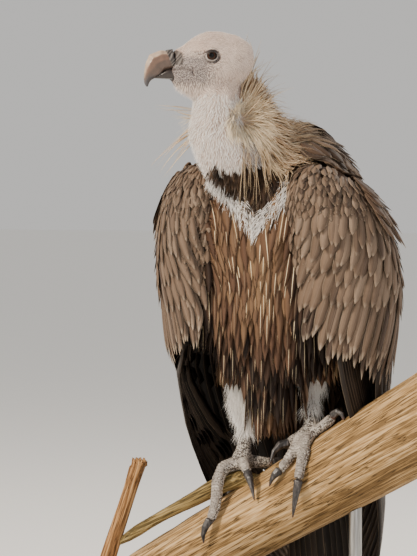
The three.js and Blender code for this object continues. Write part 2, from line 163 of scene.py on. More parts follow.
def apply_modifier(piece, kind, **settings):
    modifier = piece.modifiers.new(kind.title(), kind)
    for key, value in settings.items():
        setattr(modifier, key, value)
    select_only(piece)
    bpy.ops.object.modifier_apply(modifier=modifier.name)


def joined_copy(name, nodes):
    """Copies of CAD nodes as one mesh, with their shared corners merged."""
    bm = bmesh.new()
    for node in nodes:
        bm.from_mesh(NODES[node].data)
    bmesh.ops.remove_doubles(bm, verts=bm.verts, dist=1e-6)
    mesh = bpy.data.meshes.new(name)
    bm.to_mesh(mesh)
    bm.free()
    return placed(name, mesh)


def refined_copy(name, nodes, grid, rounds=6):
    """A copy of CAD nodes on a fine even mesh, with its facets smoothed away."""
    piece = joined_copy(name, nodes)
    apply_modifier(piece, "REMESH", mode="VOXEL", voxel_size=grid * MM, use_smooth_shade=True)
    relax(piece.data, rounds)
    return piece


def neighbours(mesh):
    edges = np.empty(len(mesh.edges) * 2, dtype=np.int64)
    mesh.edges.foreach_get("vertices", edges)
    a, b = edges.reshape(-1, 2).T
    count = np.bincount(np.r_[a, b], minlength=len(mesh.vertices))[:, None]
    return a, b, count


def averaged(values, around):
    a, b, count = around
    total = np.zeros_like(values)
    for k in range(values.shape[1]):
        total[:, k] = np.bincount(a, values[b, k], len(values)) + np.bincount(b, values[a, k], len(values))
    return total / np.maximum(count, 1)


def relax(mesh, rounds, where=None):
    """Smooths a mesh with hardly any shrinking: each round pulls in, then pushes out."""
    around = neighbours(mesh)
    points = vertices_of(mesh)
    weight = 1.0 if where is None else where[:, None]
    for _ in range(rounds):
        for step in (0.6, -0.62):
            points = points + weight * step * (averaged(points, around) - points)
    move_to(mesh, points)


def float_layer(mesh, name, values):
    layer = mesh.attributes.new(name, "FLOAT", "POINT")
    layer.data.foreach_set("value", np.asarray(values, dtype=np.float32))


# ---------------------------------------------------------------- materials
def linear(code):
    """An sRGB hex colour as linear red, green, blue and alpha."""
    parts = [int(code[i : i + 2], 16) / 255 for i in (1, 3, 5)]
    return [c / 12.92 if c <= 0.04045 else ((c + 0.055) / 1.055) ** 2.4 for c in parts] + [1.0]


def add(tree, kind, inputs=(), out=0, stops=(), **settings):
    """Adds one node with its settings, values, links and ramp stops, and gives one of its outputs."""
    node = tree.nodes.new("ShaderNode" + kind)
    for key, value in settings.items():
        setattr(node, key, value)
    pairs = inputs.items() if isinstance(inputs, dict) else enumerate(inputs)
    for key, value in pairs:
        if isinstance(value, bpy.types.NodeSocket):
            tree.links.new(value, node.inputs[key])
        else:
            node.inputs[key].default_value = linear(value) if isinstance(value, str) else value
    for index, (place, code) in enumerate(stops):
        ends = node.color_ramp.elements
        end = ends[index] if index < len(ends) else ends.new(place)
        end.position = place
        end.color = linear(code)
    return node.outputs[out]


def start_material(name, **settings):
    """A material, its tree and its Principled shader, with the shader's constant values."""
    material = bpy.data.materials.new(name)
    material.use_nodes = True
    tree = material.node_tree
    shader = tree.nodes["Principled BSDF"]
    for key, value in settings.items():
        shader.inputs[key.replace("_", " ")].default_value = value
    return material, tree, shader


def plug(tree, shader, **sockets):
    for key, socket in sockets.items():
        tree.links.new(socket, shader.inputs[key.replace("_", " ")])


def feather_material(name, dark, middle, light, streak, fringe, streak_wide=0.1, roughness=0.62):
    """Keratin vane: a base that varies feather by feather, a pale shaft, worn pale edges and fine barbs."""
    material, tree, shader = start_material(name, Roughness=roughness, Specular_IOR_Level=0.25)
    place = add(tree, "UVMap", uv_map="Vane")
    u = add(tree, "SeparateXYZ", [place])
    v = add(tree, "SeparateXYZ", [place], 1)
    tone, size, streaked, rimmed = (
        add(tree, "Attribute", out=2, attribute_name=key) for key in ("tone", "size", "streak", "rim")
    )
    aside = add(tree, "Math", [u, 2.0, -1.0], operation="MULTIPLY_ADD")
    aside = add(tree, "Math", [aside], operation="ABSOLUTE")
    base = add(tree, "ValToRGB", [tone], stops=[(0.0, dark), (0.5, middle), (1.0, light)])
    # barbs 1.2 mm apart that slant back from the shaft
    slant = add(tree, "Math", [aside, -0.22, v], operation="MULTIPLY_ADD")
    turns = add(tree, "Math", [size, 5.2], operation="MULTIPLY")
    turns = add(tree, "Math", [slant, turns], operation="MULTIPLY")
    barbs = add(tree, "Math", [turns], operation="SINE")
    share = add(tree, "Math", [barbs, 0.09, 0.1], operation="MULTIPLY_ADD")
    base = add(tree, "Mix", {0: share, 6: base, 7: dark}, 2, data_type="RGBA")
    # blotches about 7 mm across, and a darker band along the shaft
    spot = add(tree, "TexCoord", out=3)
    blotch = add(tree, "TexNoise", {"Vector": spot, "Scale": 0.5 / (7 * MM), "Detail": 3.0})
    inner = add(tree, "Math", [aside, -0.3, 0.3], operation="MULTIPLY_ADD")
    share = add(tree, "Math", [blotch, 0.3, inner], operation="MULTIPLY_ADD")
    base = add(tree, "Mix", {0: share, 6: base, 7: dark}, 2, data_type="RGBA")
    # the pale shaft and the worn, pale edge and tip
    shaft = add(tree, "Math", [aside, -1.0 / streak_wide, 1.0], operation="MULTIPLY_ADD")
    shown = add(tree, "Math", [streaked, 2.0], operation="MULTIPLY")
    shaft = add(tree, "Math", [shaft, shown], operation="MULTIPLY")
    shaft = add(tree, "Clamp", [shaft, 0.0, 1.0])
    base = add(tree, "Mix", {0: shaft, 6: base, 7: streak}, 2, data_type="RGBA")
    edge = add(tree, "Math", [v, 0.97], operation="MULTIPLY")
    edge = add(tree, "Math", [aside, edge], operation="MAXIMUM")
    edge = add(tree, "Math", [edge, 9.0, -8.0], operation="MULTIPLY_ADD")
    edge = add(tree, "Math", [add(tree, "Clamp", [edge, 0.0, 1.0]), rimmed], operation="MULTIPLY")
    base = add(tree, "Mix", {0: edge, 6: base, 7: fringe}, 2, data_type="RGBA")
    relief = add(tree, "Math", [shaft, 2.0, barbs], operation="MULTIPLY_ADD")
    bump = add(tree, "Bump", {"Height": relief, "Distance": 0.05 * MM, "Strength": 0.5})
    plug(tree, shader, Base_Color=base, Normal=bump)
    return material


def down_material(name, shade, light):
    """Down: soft loose barbs that scatter light, shadowed at the root."""
    material, tree, shader = start_material(name, Roughness=0.85, Sheen_Weight=0.3, Specular_IOR_Level=0.1)
    v = add(tree, "SeparateXYZ", [add(tree, "UVMap", uv_map="Vane")], 1)
    tone = add(tree, "Attribute", out=2, attribute_name="tone")
    base = add(tree, "ValToRGB", [v], stops=[(0.0, shade), (0.5, light), (1.0, light)])
    share = add(tree, "Math", [tone, 0.5], operation="MULTIPLY")
    base = add(tree, "Mix", {0: share, 6: base, 7: shade}, 2, data_type="RGBA")
    plug(tree, shader, Base_Color=base)
    return material


# ---------------------------------------------------------------- feathers
def stations(steps):
    """Places along a vane from quill to tip, closer together towards the tip so that it comes out round."""
    return 1 - (1 - np.linspace(0, 1, steps)) ** 1.5


def outline(steps, belly=0.45, tip=2.2, root=0.3):
    """Half-width of a vane from quill to tip, as shares of its widest."""
    s = stations(steps)
    rising = root + (1 - root) * (1 - (1 - np.minimum(s / belly, 1)) ** 2)
    falling = 1 - np.clip((s - belly) / (1 - belly), 0, 1) ** tip
    return np.maximum(rising * falling, 0.05)


def bake_places(roots, normals):
    """Where each root lies on a box unwrap of the skin, whose six sides fill three by two tiles."""
    axis = np.abs(normals).argmax(1)
    side = (normals[np.arange(len(axis)), axis] > 0).astype(int)
    places = np.zeros((len(roots), 2))
    for a in range(3):
        for b in range(2):
            chosen = (axis == a) & (side == b)
            if not chosen.any():
                continue
            flat = np.delete(roots[chosen], a, axis=1)
            low, high = flat.min(0), flat.max(0)
            share = (flat - low) / max((high - low).max(), 1e-6)
            places[chosen] = (np.array([a, b]) + 0.04 + 0.92 * share) / [3, 2]
    return places


def vane_rings(shafts, half, thick, camber, worn):
    """Four-cornered sections along each vane: left edge, top, right edge and underside."""
    shaft, side, normal = shafts
    count, steps = shaft.shape[:2]
    ragged = 1 + rng.uniform(-worn, worn, (count, steps, 2))
    wide = half[:, :, None]
    drop = camber[:, None, None] * wide
    body = (thick[:, None] * np.linspace(1, 0.25, steps)[None, :])[..., None]
    left = shaft + side * (wide * ragged[..., :1]) - normal * drop
    right = shaft - side * (wide * ragged[..., 1:]) - normal * drop
    top = shaft + normal * body
    under = shaft - normal * (0.6 * body + drop * 0.8)
    return np.stack([left, top, right, under], axis=2).reshape(-1, 3)


def vane_faces(count, steps):
    """The walls and the two end caps of count closed vanes of four-cornered sections."""
    first = (np.arange(count) * steps * 4)[:, None]
    corner = np.arange(4)
    start = first[:, :, None] + (np.arange(steps - 1) * 4)[None, :, None]
    after = (corner + 1) % 4
    walls = np.stack([start + corner, start + after, start + 4 + after, start + 4 + corner], axis=-1)
    return np.concatenate([walls.reshape(-1, 4), first + corner[::-1], first + (steps - 1) * 4 + corner])


def vanes(name, shafts, half, shape, thick, camber, tone, material, streak=0.0, rim=0.0, worn=0.04):
    """One mesh of closed vanes. Shafts are places, side ways and up ways, the rest values for each vane."""
    shaft, _, normal = shafts
    count, steps = shaft.shape[:2]
    vertices = vane_rings(shafts, half[:, None] * outline(steps, *shape)[None, :], thick, camber, worn)
    faces = vane_faces(count, steps)
    mesh = bpy.data.meshes.new(name)
    mesh.vertices.add(len(vertices))
    mesh.vertices.foreach_set("co", vertices.ravel())
    mesh.loops.add(len(faces) * 4)
    mesh.loops.foreach_set("vertex_index", faces.ravel().astype(np.int32))
    mesh.polygons.add(len(faces))
    mesh.polygons.foreach_set("loop_start", np.arange(len(faces), dtype=np.int32) * 4)
    mesh.update(calc_edges=True)
    flat = np.tile(np.array([0.0, 0.5, 1.0, 0.5]), count * steps)
    along = np.tile(np.repeat(stations(steps), 4), count)
    vane = np.stack([flat, along], axis=1)
    patch = np.repeat(bake_places(shaft[:, 0], normal[:, 0]), steps * 4, axis=0) + (vane - 0.5) * PATCH
    picked = faces.ravel()
    mesh.uv_layers.new(name="OFBake").data.foreach_set("uv", patch[picked].ravel())
    mesh.uv_layers.new(name="Vane").data.foreach_set("uv", vane[picked].ravel())
    size = np.linalg.norm(np.diff(shaft, axis=1), axis=2).sum(1) / MM
    for key, value in (("tone", tone), ("streak", streak), ("rim", rim), ("size", size)):
        float_layer(mesh, key, np.repeat(np.broadcast_to(value, count), steps * 4))
    smooth_shaded(mesh)
    if signed_volume(vertices, faces) < 0:
        mesh.flip_normals()
    piece = placed(name, mesh)
    dress(piece, material, "feather")
    return piece


def signed_volume(vertices, faces):
    a, b, c, d = (vertices[faces[:, k]] for k in range(4))
    return ((np.cross(b - a, c - a) + np.cross(c - a, d - a)) * (a - vertices[0])).sum()


def spread(points, gap):
    """Indices of points no closer together than gap, in the order given."""
    cells = {}
    kept = []
    keys = np.floor(points / gap).astype(int)
    for i, (p, key) in enumerate(zip(points, keys)):
        x, y, z = key
        near = False
        for dx in (-1, 0, 1):
            for dy in (-1, 0, 1):
                for dz in (-1, 0, 1):
                    other = cells.get((x + dx, y + dy, z + dz))
                    if other is not None and ((points[other] - p) ** 2).sum() < gap * gap:
                        near = True
        if not near:
            cells[(x, y, z)] = i
            kept.append(i)
    return np.array(kept, dtype=int)


def sow(skin_faces, chosen, gap, tries=3.0):
    """Roots about gap apart on the chosen faces of the skin: points and normals."""
    corners, normals, areas = skin_faces
    ids = np.flatnonzero(chosen)
    share = areas[ids] / areas[ids].sum()
    wanted = int(tries * areas[ids].sum() / (gap * gap)) + 8
    picks = rng.choice(ids, size=wanted, p=share)
    a, b = rng.random(wanted), rng.random(wanted)
    quad = corners[picks]
    low = quad[:, 0] + (quad[:, 1] - quad[:, 0]) * a[:, None]
    high = quad[:, 3] + (quad[:, 2] - quad[:, 3]) * a[:, None]
    points = low + (high - low) * b[:, None]
    kept = spread(points, gap)
    return points[kept], normals[picks[kept]]


def framed(shaft, up):
    """Shafts with their side ways and up ways, squared from rough up ways."""
    ways = np.gradient(shaft, axis=1)
    side = unit(np.cross(up, ways))
    return shaft, side, unit(np.cross(ways, side))


def facing(shaft, way):
    """Shafts with their side ways and up ways, so that their vanes face one way."""
    ways = unit(np.gradient(shaft, axis=1))
    up = unit(across(np.broadcast_to(way, ways.shape), ways))
    return shaft, unit(np.cross(up, ways)), up


def lay(ground, roots, flow, length, steps, low, high):
    """Shafts laid over the ground. They rise from low to high, and hang free where the ground turns under."""
    point, normal = ground.nearest(roots)
    shaft, ups = [], []
    places = stations(steps)
    loose = np.zeros((len(roots), 1), dtype=bool)
    for k, s in enumerate(places):
        height = low + (high - low) * s**1.3
        way = unit(across(flow(point), normal))
        shaft.append(point + normal * height[:, None])
        ups.append(normal)
        if k + 1 < steps:
            step = length[:, None] * (places[k + 1] - s)
            landed, fresh = ground.nearest(point + way * step)
            loose |= (fresh[:, 2] < -0.25)[:, None]
            point = np.where(loose, point + unit(way * [0.2, 0.2, 1] - 0.8 * UP) * step, landed)
            normal = np.where(loose, unit(normal * [1, 1, 0.3]), unit(normal * 0.35 + fresh * 0.65))
    shaft = np.stack(shaft, 1)
    for _ in range(2):
        shaft[:, 1:-1] = 0.5 * shaft[:, 1:-1] + 0.25 * (shaft[:, :-2] + shaft[:, 2:])
    return framed(shaft, np.stack(ups, 1))


def plumes(roots, aim, droop, length, steps, curl):
    """Free shafts that leave the root along aim, sag by droop of their length and curl to the side."""
    s = stations(steps)[None, :, None]
    turn = np.cross(aim, UP)
    shaft = roots[:, None] + length[:, None, None] * (
        aim[:, None] * s - UP * (droop[:, None, None] * s**2) + turn[:, None] * (curl * s**2)
    )
    return facing(shaft, UP + aim[:, None] * 0.01)


# ---------------------------------------------------------------- skin
FLESH = {
    "head": ["head", "eye_left", "eye_right"],
    "neck": ["neck"],
    "ruff": ["ruff"],
    "trunk": ["trunk"],
    "coverts": ["wing_left_coverts", "wing_right_coverts"],
    "thigh": ["thigh_left", "thigh_right"],
    "cuff": ["cuff_left", "cuff_right"],
    "leg": ["shank_left", "shank_right", "foot_left", "foot_right"],
}
REGIONS = list(FLESH)
ALL_FLESH = [node for nodes in FLESH.values() for node in nodes]


def gathered(nodes):
    """A search tree of some CAD nodes together, and which of the nodes each of its faces comes from."""
    corners, faces, owner = [], [], []
    for index, node in enumerate(nodes):
        mesh = NODES[node].data
        start = len(corners)
        corners.extend(vertices_of(mesh).tolist())
        for p in mesh.polygons:
            faces.append([start + v for v in p.vertices])
            owner.append(index)
    return BVHTree.FromPolygons(corners, faces), np.array(owner)


flesh_tree, flesh_owner = gathered(ALL_FLESH)
flesh_regions = np.array([REGIONS.index(name) for name in FLESH for _ in FLESH[name]])[flesh_owner]


def region_of(points):
    """The flesh region nearest to each point, from the CAD nodes' own faces."""
    return flesh_regions[[flesh_tree.find_nearest(Vector(p))[2] for p in points]]


def among(region, *names):
    """Whether each region is one of those named."""
    return np.isin(region, [REGIONS.index(name) for name in names])


def finer(mesh, inside, cuts):
    """Splits the faces whose corners are all inside."""
    bm = bmesh.new()
    bm.from_mesh(mesh)
    bm.verts.ensure_lookup_table()
    edges = [e for e in bm.edges if inside[e.verts[0].index] and inside[e.verts[1].index]]
    bmesh.ops.subdivide_edges(bm, edges=edges, cuts=cuts, use_grid_fill=True)
    bmesh.ops.triangulate(bm, faces=[face for face in bm.faces if len(face.verts) > 4])
    bm.to_mesh(mesh)
    bm.free()
    mesh.update()


def round_eye(forward, height):
    """Distance from the eyes' axis in millimetres, and the angle round it."""
    ahead = forward - EYE_FORWARD
    return np.hypot(ahead, height), np.arctan2(height, ahead)


def sink_below_coat(mesh):
    """Moves the skin in by the depth of its coat, less where the body is thin, and lifts the wing's hem."""
    points = vertices_of(mesh)
    region = region_of(points)
    depth = np.array([COAT[name] for name in REGIONS])[region][:, None]
    around = neighbours(mesh)
    for _ in range(10):
        depth = averaged(depth, around)
    normals = normals_of(mesh)
    tree = BVHTree.FromPolygons(points.tolist(), [tuple(p.vertices) for p in mesh.polygons])
    room = np.full(len(points), 1.0)
    for i in np.flatnonzero(depth[:, 0] > 1.0):
        hit = tree.ray_cast(Vector(points[i] - normals[i] * 0.0005), Vector(-normals[i]), 0.05)
        if hit[0] is not None:
            room[i] = hit[3]
    shift = np.minimum(depth[:, 0] * MM, 0.33 * room)
    points -= normals * shift[:, None]
    low_wing = among(region, "coverts") & (points[:, 2] < WING_HEM * MM)
    points[low_wing, 2] = (WING_HEM - (WING_HEM - points[low_wing, 2] / MM) * 0.2) * MM
    move_to(mesh, points)


def make_skin():
    """The flesh as one skin, sunk below its coat, with finer faces on the head and the legs."""
    skin = refined_copy("skin", ALL_FLESH, SKIN_GRID, 4)
    mesh = skin.data
    sink_below_coat(mesh)
    relax(mesh, 2)
    finer(mesh, vertices_of(mesh)[:, 2] > 0.812, 2)
    finer(mesh, among(region_of(vertices_of(mesh)), "leg"), 1)
    points = vertices_of(mesh)
    forward, left, height = head_axes(points)
    around, _ = round_eye(forward, height)
    cheek = (forward > 2) & (height > -44) & (height < 17)
    finer(mesh, ((around < 21) | cheek) & (np.abs(left) > 5) & (points[:, 2] > 0.8), 1)
    points = vertices_of(mesh)
    worked = (points[:, 2] > 0.81) | among(region_of(points), "leg")
    relax(mesh, 6, worked.astype(float))
    shape_head(mesh)
    smooth_shaded(mesh)
    return skin


# lines on the side of the head, as forward and height: the brow's shadow, and the gape back to the cheek
BROW = [(21.0, 1.4), (12.0, 3.6), (6.0, 5.6), (0.0, 6.6), (-6.0, 5.0)]
GAPE = [(58.0, -20.0), (47.0, -18.5), (36.0, -18.0), (27.0, -21.0), (25.0, -27.0)]


def from_line(x, y, line):
    """Distance of points from a polyline in the plane, in millimetres."""
    best = np.full(len(x), 1e3)
    for (ax, ay), (bx, by) in zip(line, line[1:]):
        run, rise = bx - ax, by - ay
        t = np.clip(((x - ax) * run + (y - ay) * rise) / (run**2 + rise**2), 0, 1)
        best = np.minimum(best, np.hypot(x - ax - t * run, y - ay - t * rise))
    return best


def bare_front(forward, height):
    """The bare dark skin behind the bill, up to the edge of the forehead's down."""
    edge = 39 + 15 * ramp(height, 2, 13.5)
    return ramp(forward, edge - 2.2, edge + 1.6) * ramp(height, -15, -11)


def eye_opening(angle):
    """Distance from the eye's centre to the edge of the lids: low over the top, open below."""
    return 5.75 + 0.85 * np.cos(2 * angle) - 1.25 * np.sin(angle)


def face_share(forward, height, around):
    """How far the skin of the head is bare grey face (1) or covered in down (0)."""
    share = ramp(forward, -22, 16) * ramp(height, 6, -6) * ramp(height, -58, -30)
    return np.maximum(share, ramp(around + 0.4 * np.maximum(height, -3), 13.5, 9.5))


def wrinkles(forward, height):
    """Uneven folds that slant back and down over the cere."""
    return np.sin(1.1 * forward + 0.9 * height + 1.7 * np.sin(0.43 * height + 0.31 * forward))


def head_relief(forward, height):
    """How far the sides of the head stand out or sink in, in millimetres."""
    rise = np.zeros(len(forward))
    # the hollow in front of the eye, the brow over it, the folded cere and the cheek
    rise -= 2.6 * hill((forward - 23) / 11, (height - 0.5) / 6)
    rise += 3.3 * hill((forward - 7) / 15, (height - 10.2 + 0.22 * forward) / 2.8)
    rise += 0.4 * bare_front(forward, height) * wrinkles(forward, height)
    rise += 1.2 * hill((forward + 2) / 16, (height + 19) / 8)
    # the gape line and the fold below it
    line = from_line(forward, height, GAPE)
    rise -= 1.7 * hill(line / 1.3) * (forward < 60)
    rise += 0.8 * hill((line - 3.6) / 1.6) * (forward < 54)
    # fine creases that fan back from the gape
    crease = np.sin(0.85 * (height + 0.35 * forward) + 1.4 * np.sin(0.21 * forward))
    rise += 0.28 * crease * hill((forward - 24) / 20, (height + 24) / 13)
    return rise


def shape_head(mesh):
    """Works the eye sockets, lids, brow, gape folds and throat creases into the head's skin."""
    points = vertices_of(mesh)
    forward, left, height = head_axes(points)
    around, angle = round_eye(forward, height)
    head = points[:, 2] > 0.80
    side = np.clip(np.abs(left) / 14, 0, 1) * head
    outward = np.sign(left)[:, None] * HEAD_LEFT
    points += outward * (head_relief(forward, height) * side * MM)[:, None]
    # the ball's surface over each point round the eye, and the lids that wrap it
    opening = eye_opening(angle)
    beyond = around - opening
    ball = np.sqrt(np.maximum(EYE_RADIUS**2 - np.minimum(around, EYE_RADIUS) ** 2, 0))
    lid = ball + 0.9 + 0.7 * hill((beyond - 0.8) / 0.8)
    lid -= 0.55 * hill((beyond - 2.3) / 0.6)
    lid += 0.35 * hill((beyond - 3.6) / 0.8)
    inside = ramp(around, opening + 0.1, opening - 0.9)
    target = lid * (1 - inside) + (ball - 3.0) * inside
    _, left, _ = head_axes(points)
    blend = (1 - ramp(around, opening + 2.6, opening + 6.5)) * head * (np.abs(left) > 8)
    move = (target - (np.abs(left) - EYE_APART)) * blend
    points += np.sign(left)[:, None] * HEAD_LEFT * (move * MM)[:, None]
    move_to(mesh, points)


skin = make_skin()
ground = Ground(skin.data)


def face_facts(mesh, points):
    """Corners, normals and areas of a mesh's triangles and quads. A triangle has its last corner twice."""
    sides = [list(p.vertices) for p in mesh.polygons if len(p.vertices) < 5]
    corners = points[np.array([(side + side[-1:])[:4] for side in sides])]
    cross = np.cross(corners[:, 2] - corners[:, 0], corners[:, 3] - corners[:, 1])
    return corners, unit(cross + 1e-12), np.linalg.norm(cross, axis=1) / 2 + 1e-12


skin_faces = face_facts(skin.data, ground.points)
face_middle = skin_faces[0].mean(1)
face_normal = skin_faces[1]
face_region = region_of(face_middle)


def faces_in(*names):
    return among(face_region, *names)


# ---------------------------------------------------------------- folded wings, by angle and height
# where the wings' upright axes lie in y, by height
WING_AXIS = (
    (60, 158), (120, 134), (200, 98), (286, 62), (349, 34), (404, 16), (600, 6), (661, -15), (722, -60),
)
ANGLES = np.radians(np.arange(-80, 96, 4.0))
HEIGHTS = np.arange(60, 732, 8.0)


class WingForm:
    """The outer surface of one folded wing as its distance from an upright axis, by angle and height."""

    def __init__(self, side, parts):
        self.sign = SIDES[side]
        tree, _ = gathered([f"wing_{side}_{part}" for part in parts])
        reach = np.full((len(HEIGHTS), len(ANGLES)), np.nan)
        for i, z in enumerate(HEIGHTS):
            for j, a in enumerate(ANGLES):
                way = np.array([self.sign * math.cos(a), math.sin(a), 0.0])
                start = np.array([0, self.middle(z), z]) * MM + way * 0.5
                hit = tree.ray_cast(Vector(start), Vector(-way), 0.5)
                if hit[0] is not None:
                    reach[i, j] = 0.5 - hit[3]
        self.reach = self.filled(reach)

    @staticmethod
    def middle(z):
        return np.interp(z, *zip(*WING_AXIS))

    @staticmethod
    def filled(reach):
        """Fills the gaps from their neighbours in angle, then in height, and smooths the whole."""
        rows = [i for i in range(len(reach)) if np.isfinite(reach[i]).any()]
        for i in rows:
            good = np.isfinite(reach[i])
            reach[i] = np.interp(ANGLES, ANGLES[good], reach[i][good])
        for j in range(reach.shape[1]):
            reach[:, j] = np.interp(np.arange(len(reach)), rows, reach[rows, j])
        for _ in range(3):
            wide = np.pad(reach, 1, mode="edge")
            reach = (wide[:-2, 1:-1] + wide[2:, 1:-1] + wide[1:-1, :-2] + wide[1:-1, 2:] + 2 * reach) / 6
        return reach

    def point(self, angle, z):
        """Places on the surface, for angles in radians and heights in millimetres."""
        row = np.clip((z - HEIGHTS[0]) / (HEIGHTS[1] - HEIGHTS[0]), 0, len(HEIGHTS) - 1.001)
        column = np.clip((angle - ANGLES[0]) / (ANGLES[1] - ANGLES[0]), 0, len(ANGLES) - 1.001)
        r, c = row.astype(int), column.astype(int)
        fr, fc = row - r, column - c
        reach = (self.reach[r, c] * (1 - fc) + self.reach[r, c + 1] * fc) * (1 - fr)
        reach = reach + (self.reach[r + 1, c] * (1 - fc) + self.reach[r + 1, c + 1] * fc) * fr
        x = self.sign * np.cos(angle) * reach
        return np.stack([x, self.middle(z) * MM + np.sin(angle) * reach, z * MM], axis=-1)

    def lay(self, start, end, steps, low, high, sweep=1.0):
        """Shafts from start to end, each an angle in degrees and a height, that rise from low to high."""
        s = stations(steps)[None, :]
        (a0, z0), (a1, z1) = [[np.asarray(v, float)[:, None] for v in pair] for pair in (start, end)]
        angle = np.radians(a0 + (a1 - a0) * s**sweep)
        z = z0 + (z1 - z0) * s
        here = self.point(angle, z)
        normal = np.cross(self.point(angle + 0.03, z) - here, self.point(angle, z + 4) - here) * self.sign
        normal = unit(normal)
        lift = (low[:, None] + (high - low)[:, None] * s**1.3) * MM
        return framed(here + normal * lift[..., None], normal)


def spaced(low, high, count, jitter):
    """Values from low to high, each moved by up to jitter."""
    return np.linspace(low, high, count) + rng.uniform(-jitter, jitter, count)


def many(value, count, jitter=0.0):
    """One value or one each for count feathers, each scaled by up to a share."""
    return np.broadcast_to(value, count) * (1 + rng.uniform(-jitter, jitter, count))


# ---------------------------------------------------------------- colours of the plumage
# Vane colours go from shadow to light, then the shaft streak and the worn edge.
# contour feathers of the breast and thighs: cinnamon, with a cream shaft that reads as long streaks
BREAST = feather_material(
    "cinnamon_breast_plumage", "#22160f", "#6f503b", "#9b7a59", "#f1dcb4", "#9c7b5b", streak_wide=0.08
)
# wing coverts: greyish taupe that the sun has bleached, with paler worn edges that draw each row
COVERT = feather_material(
    "taupe_wing_coverts", "#46372d", "#87705c", "#ab9580", "#b5a08a", "#d9c6ae", streak_wide=0.05
)
# flight feathers: stiff, dense and nearly black with melanin, darkened a little more as painted shade,
# smoother than the rest
REMEX = feather_material(
    "blackish_flight_feathers", "#171310", "#312923", "#4d4138", "#776656", "#a3907a",
    streak_wide=0.05, roughness=0.5,
)
# back and mantle: buff brown with dusty pale tips
MANTLE = feather_material(
    "buff_brown_mantle", "#35271d", "#6d5543", "#97806a", "#b79f84", "#cbb397", streak_wide=0.06
)
# ruff: long loose plumes, cream to rusty, whose wide pale middles make it look combed
RUFF = feather_material(
    "buff_ruff_plumes", "#53351a", "#c09260", "#f6dcb4", "#ffefd4", "#f6e0bd",
    streak_wide=0.4, roughness=0.75,
)
# crop: short, dark, dull feathers, their own dark brown deepened by painted shade so that they read as a
# hollow between the white bands
CROP = feather_material(
    "dark_crop_patch", "#1f1610", "#3d2d20", "#5a4431", "#6c543e", "#7a614a", streak_wide=0.1, roughness=0.8
)
# down: white and soft on the neck and breast, cream on the head, buff where the ruff starts
DOWN = down_material("white_down", "#e3d8cf", "#fffdf9")
HEAD_DOWN = down_material("cream_head_down", "#d6bfb0", "#fff0e4")
ROOT_DOWN = down_material("buff_root_down", "#d8bd94", "#fdefd3")
# bristles: sparse and pale grey, so that the dotted face shows through
STIPPLE = down_material("grey_face_bristles", "#938681", "#ded5ce")

# Outlines of vanes: how far along it is widest, how blunt its tip is, and how wide its root.
LANCE = (0.42, 1.7, 0.35)
THIGH = (0.42, 1.7, 0.3)
SCALE = (0.5, 1.6, 0.3)
ROUND = (0.5, 2.8, 0.35)
BROAD = (0.55, 2.6, 0.3)
TUFT = (0.4, 1.6, 0.6)
WISP = (0.4, 1.2, 0.6)


# ---------------------------------------------------------------- coat over the body
# A flow gives the way that feathers point at each place.
def falling(points, back, out=0.0):
    """Down, leaning back by a share of the fall, and out along x by a share for each place."""
    flow = np.tile(np.array([0.0, back, -1.0]), (len(points), 1))
    flow[:, 0] += out
    return flow


def downward(points):
    return np.broadcast_to(-UP, points.shape)


def breast_flow(points):
    """Down, and in towards the middle of the breast from both sides."""
    return falling(points, -0.05, -np.clip((points[:, 0] - 0.015) / 0.18, -0.36, 0.36))


def band_flow(points):
    """Down and inwards along the white bands."""
    return falling(points, -0.1, -0.45 * np.sign(points[:, 0] - 0.01))


def mantle_flow(points):
    """Out from the nape over the shoulders, then down the back."""
    return falling(points, 0.5, np.sign(points[:, 0]) * 0.5 * ramp(points[:, 2], 0.66, 0.74))


def wing_flow(points):
    """Down over the shoulder and slanting forward."""
    return falling(points, -0.22)


def head_flow(points):
    """Back over the crown, and more and more down behind and below it."""
    forward, _, height = head_axes(points)
    down = ramp(-forward, -15, 40)[:, None] * 1.1 + ramp(-height, 10, 60)[:, None]
    return -HEAD_FORWARD - UP * down


def neck_flow(points):
    """Down the neck, with a loose waver."""
    return 0.35 * np.sin(points[:, [1, 2, 0]] * 230.0) - UP


def ruff_flow(points):
    """Away from the root of the fan at each side of the nape, and a little down."""
    left, right = (np.array(root) * MM for root in FAN_ROOTS)
    away = unit(points - np.where(points[:, :1] + 0.03 > 0, left, right))
    away[:, 2] -= 0.15
    return away


def tone_for(count, middle=0.5, spread_by=0.28):
    return np.clip(rng.normal(middle, spread_by, count), 0, 1)


def grow(
    name, shafts, half, material, shape, vary=0.15, thick=0.35, camber=0.12, tones=(), tone=None, **looks
):
    """Vanes on shafts. Half and thick are in millimetres, and tones are given or drawn about a middle."""
    count = len(shafts[0])
    if vary is not None:
        half = many(half, count, vary)
    thick = many(thick, count) * MM
    camber = many(camber, count)
    drawn = tone_for(count, *tones)
    tone = drawn if tone is None else tone
    return vanes(name, shafts, half * MM, shape, thick, camber, tone, material, **looks)


def coat(
    name, roots, flow, material, shape, length, half, steps, lift, over=None, sway=0.1, rim=0.4, **looks
):
    """One piece of laid feathers. Sizes are in millimetres, and length and half may be one for each."""
    count = len(roots)
    length = many(length, count, 0.14) * MM
    drift = rng.normal(0, sway, (count, 3))

    def swaying(points):
        return unit(flow(points)) + drift

    low, high = (many(height, count, vary) * MM for height, vary in zip(lift, (0.2, 0.25)))
    shafts = lay(over or ground, roots, swaying, length, steps, low, high)
    return grow(name, shafts, half, material, shape, rim=rim, **looks)


def loose(name, rooted, flow, out, wild, droop, length, steps, curl, half, material, shape, **looks):
    """Down or plumes that stand off the skin, between its normal and flow. Droop and length have a jitter."""
    roots, normals = rooted
    count = len(roots)
    aim = unit(across(flow(roots), normals)) + normals * out + rng.normal(0, wild, (count, 3))
    droop = many(droop[0], count, droop[1])
    length = many(length[0], count, length[1]) * MM
    return grow(name, plumes(roots, unit(aim), droop, length, steps, curl), half, material, shape, **looks)


def height_of(points):
    return points[:, 2] / MM


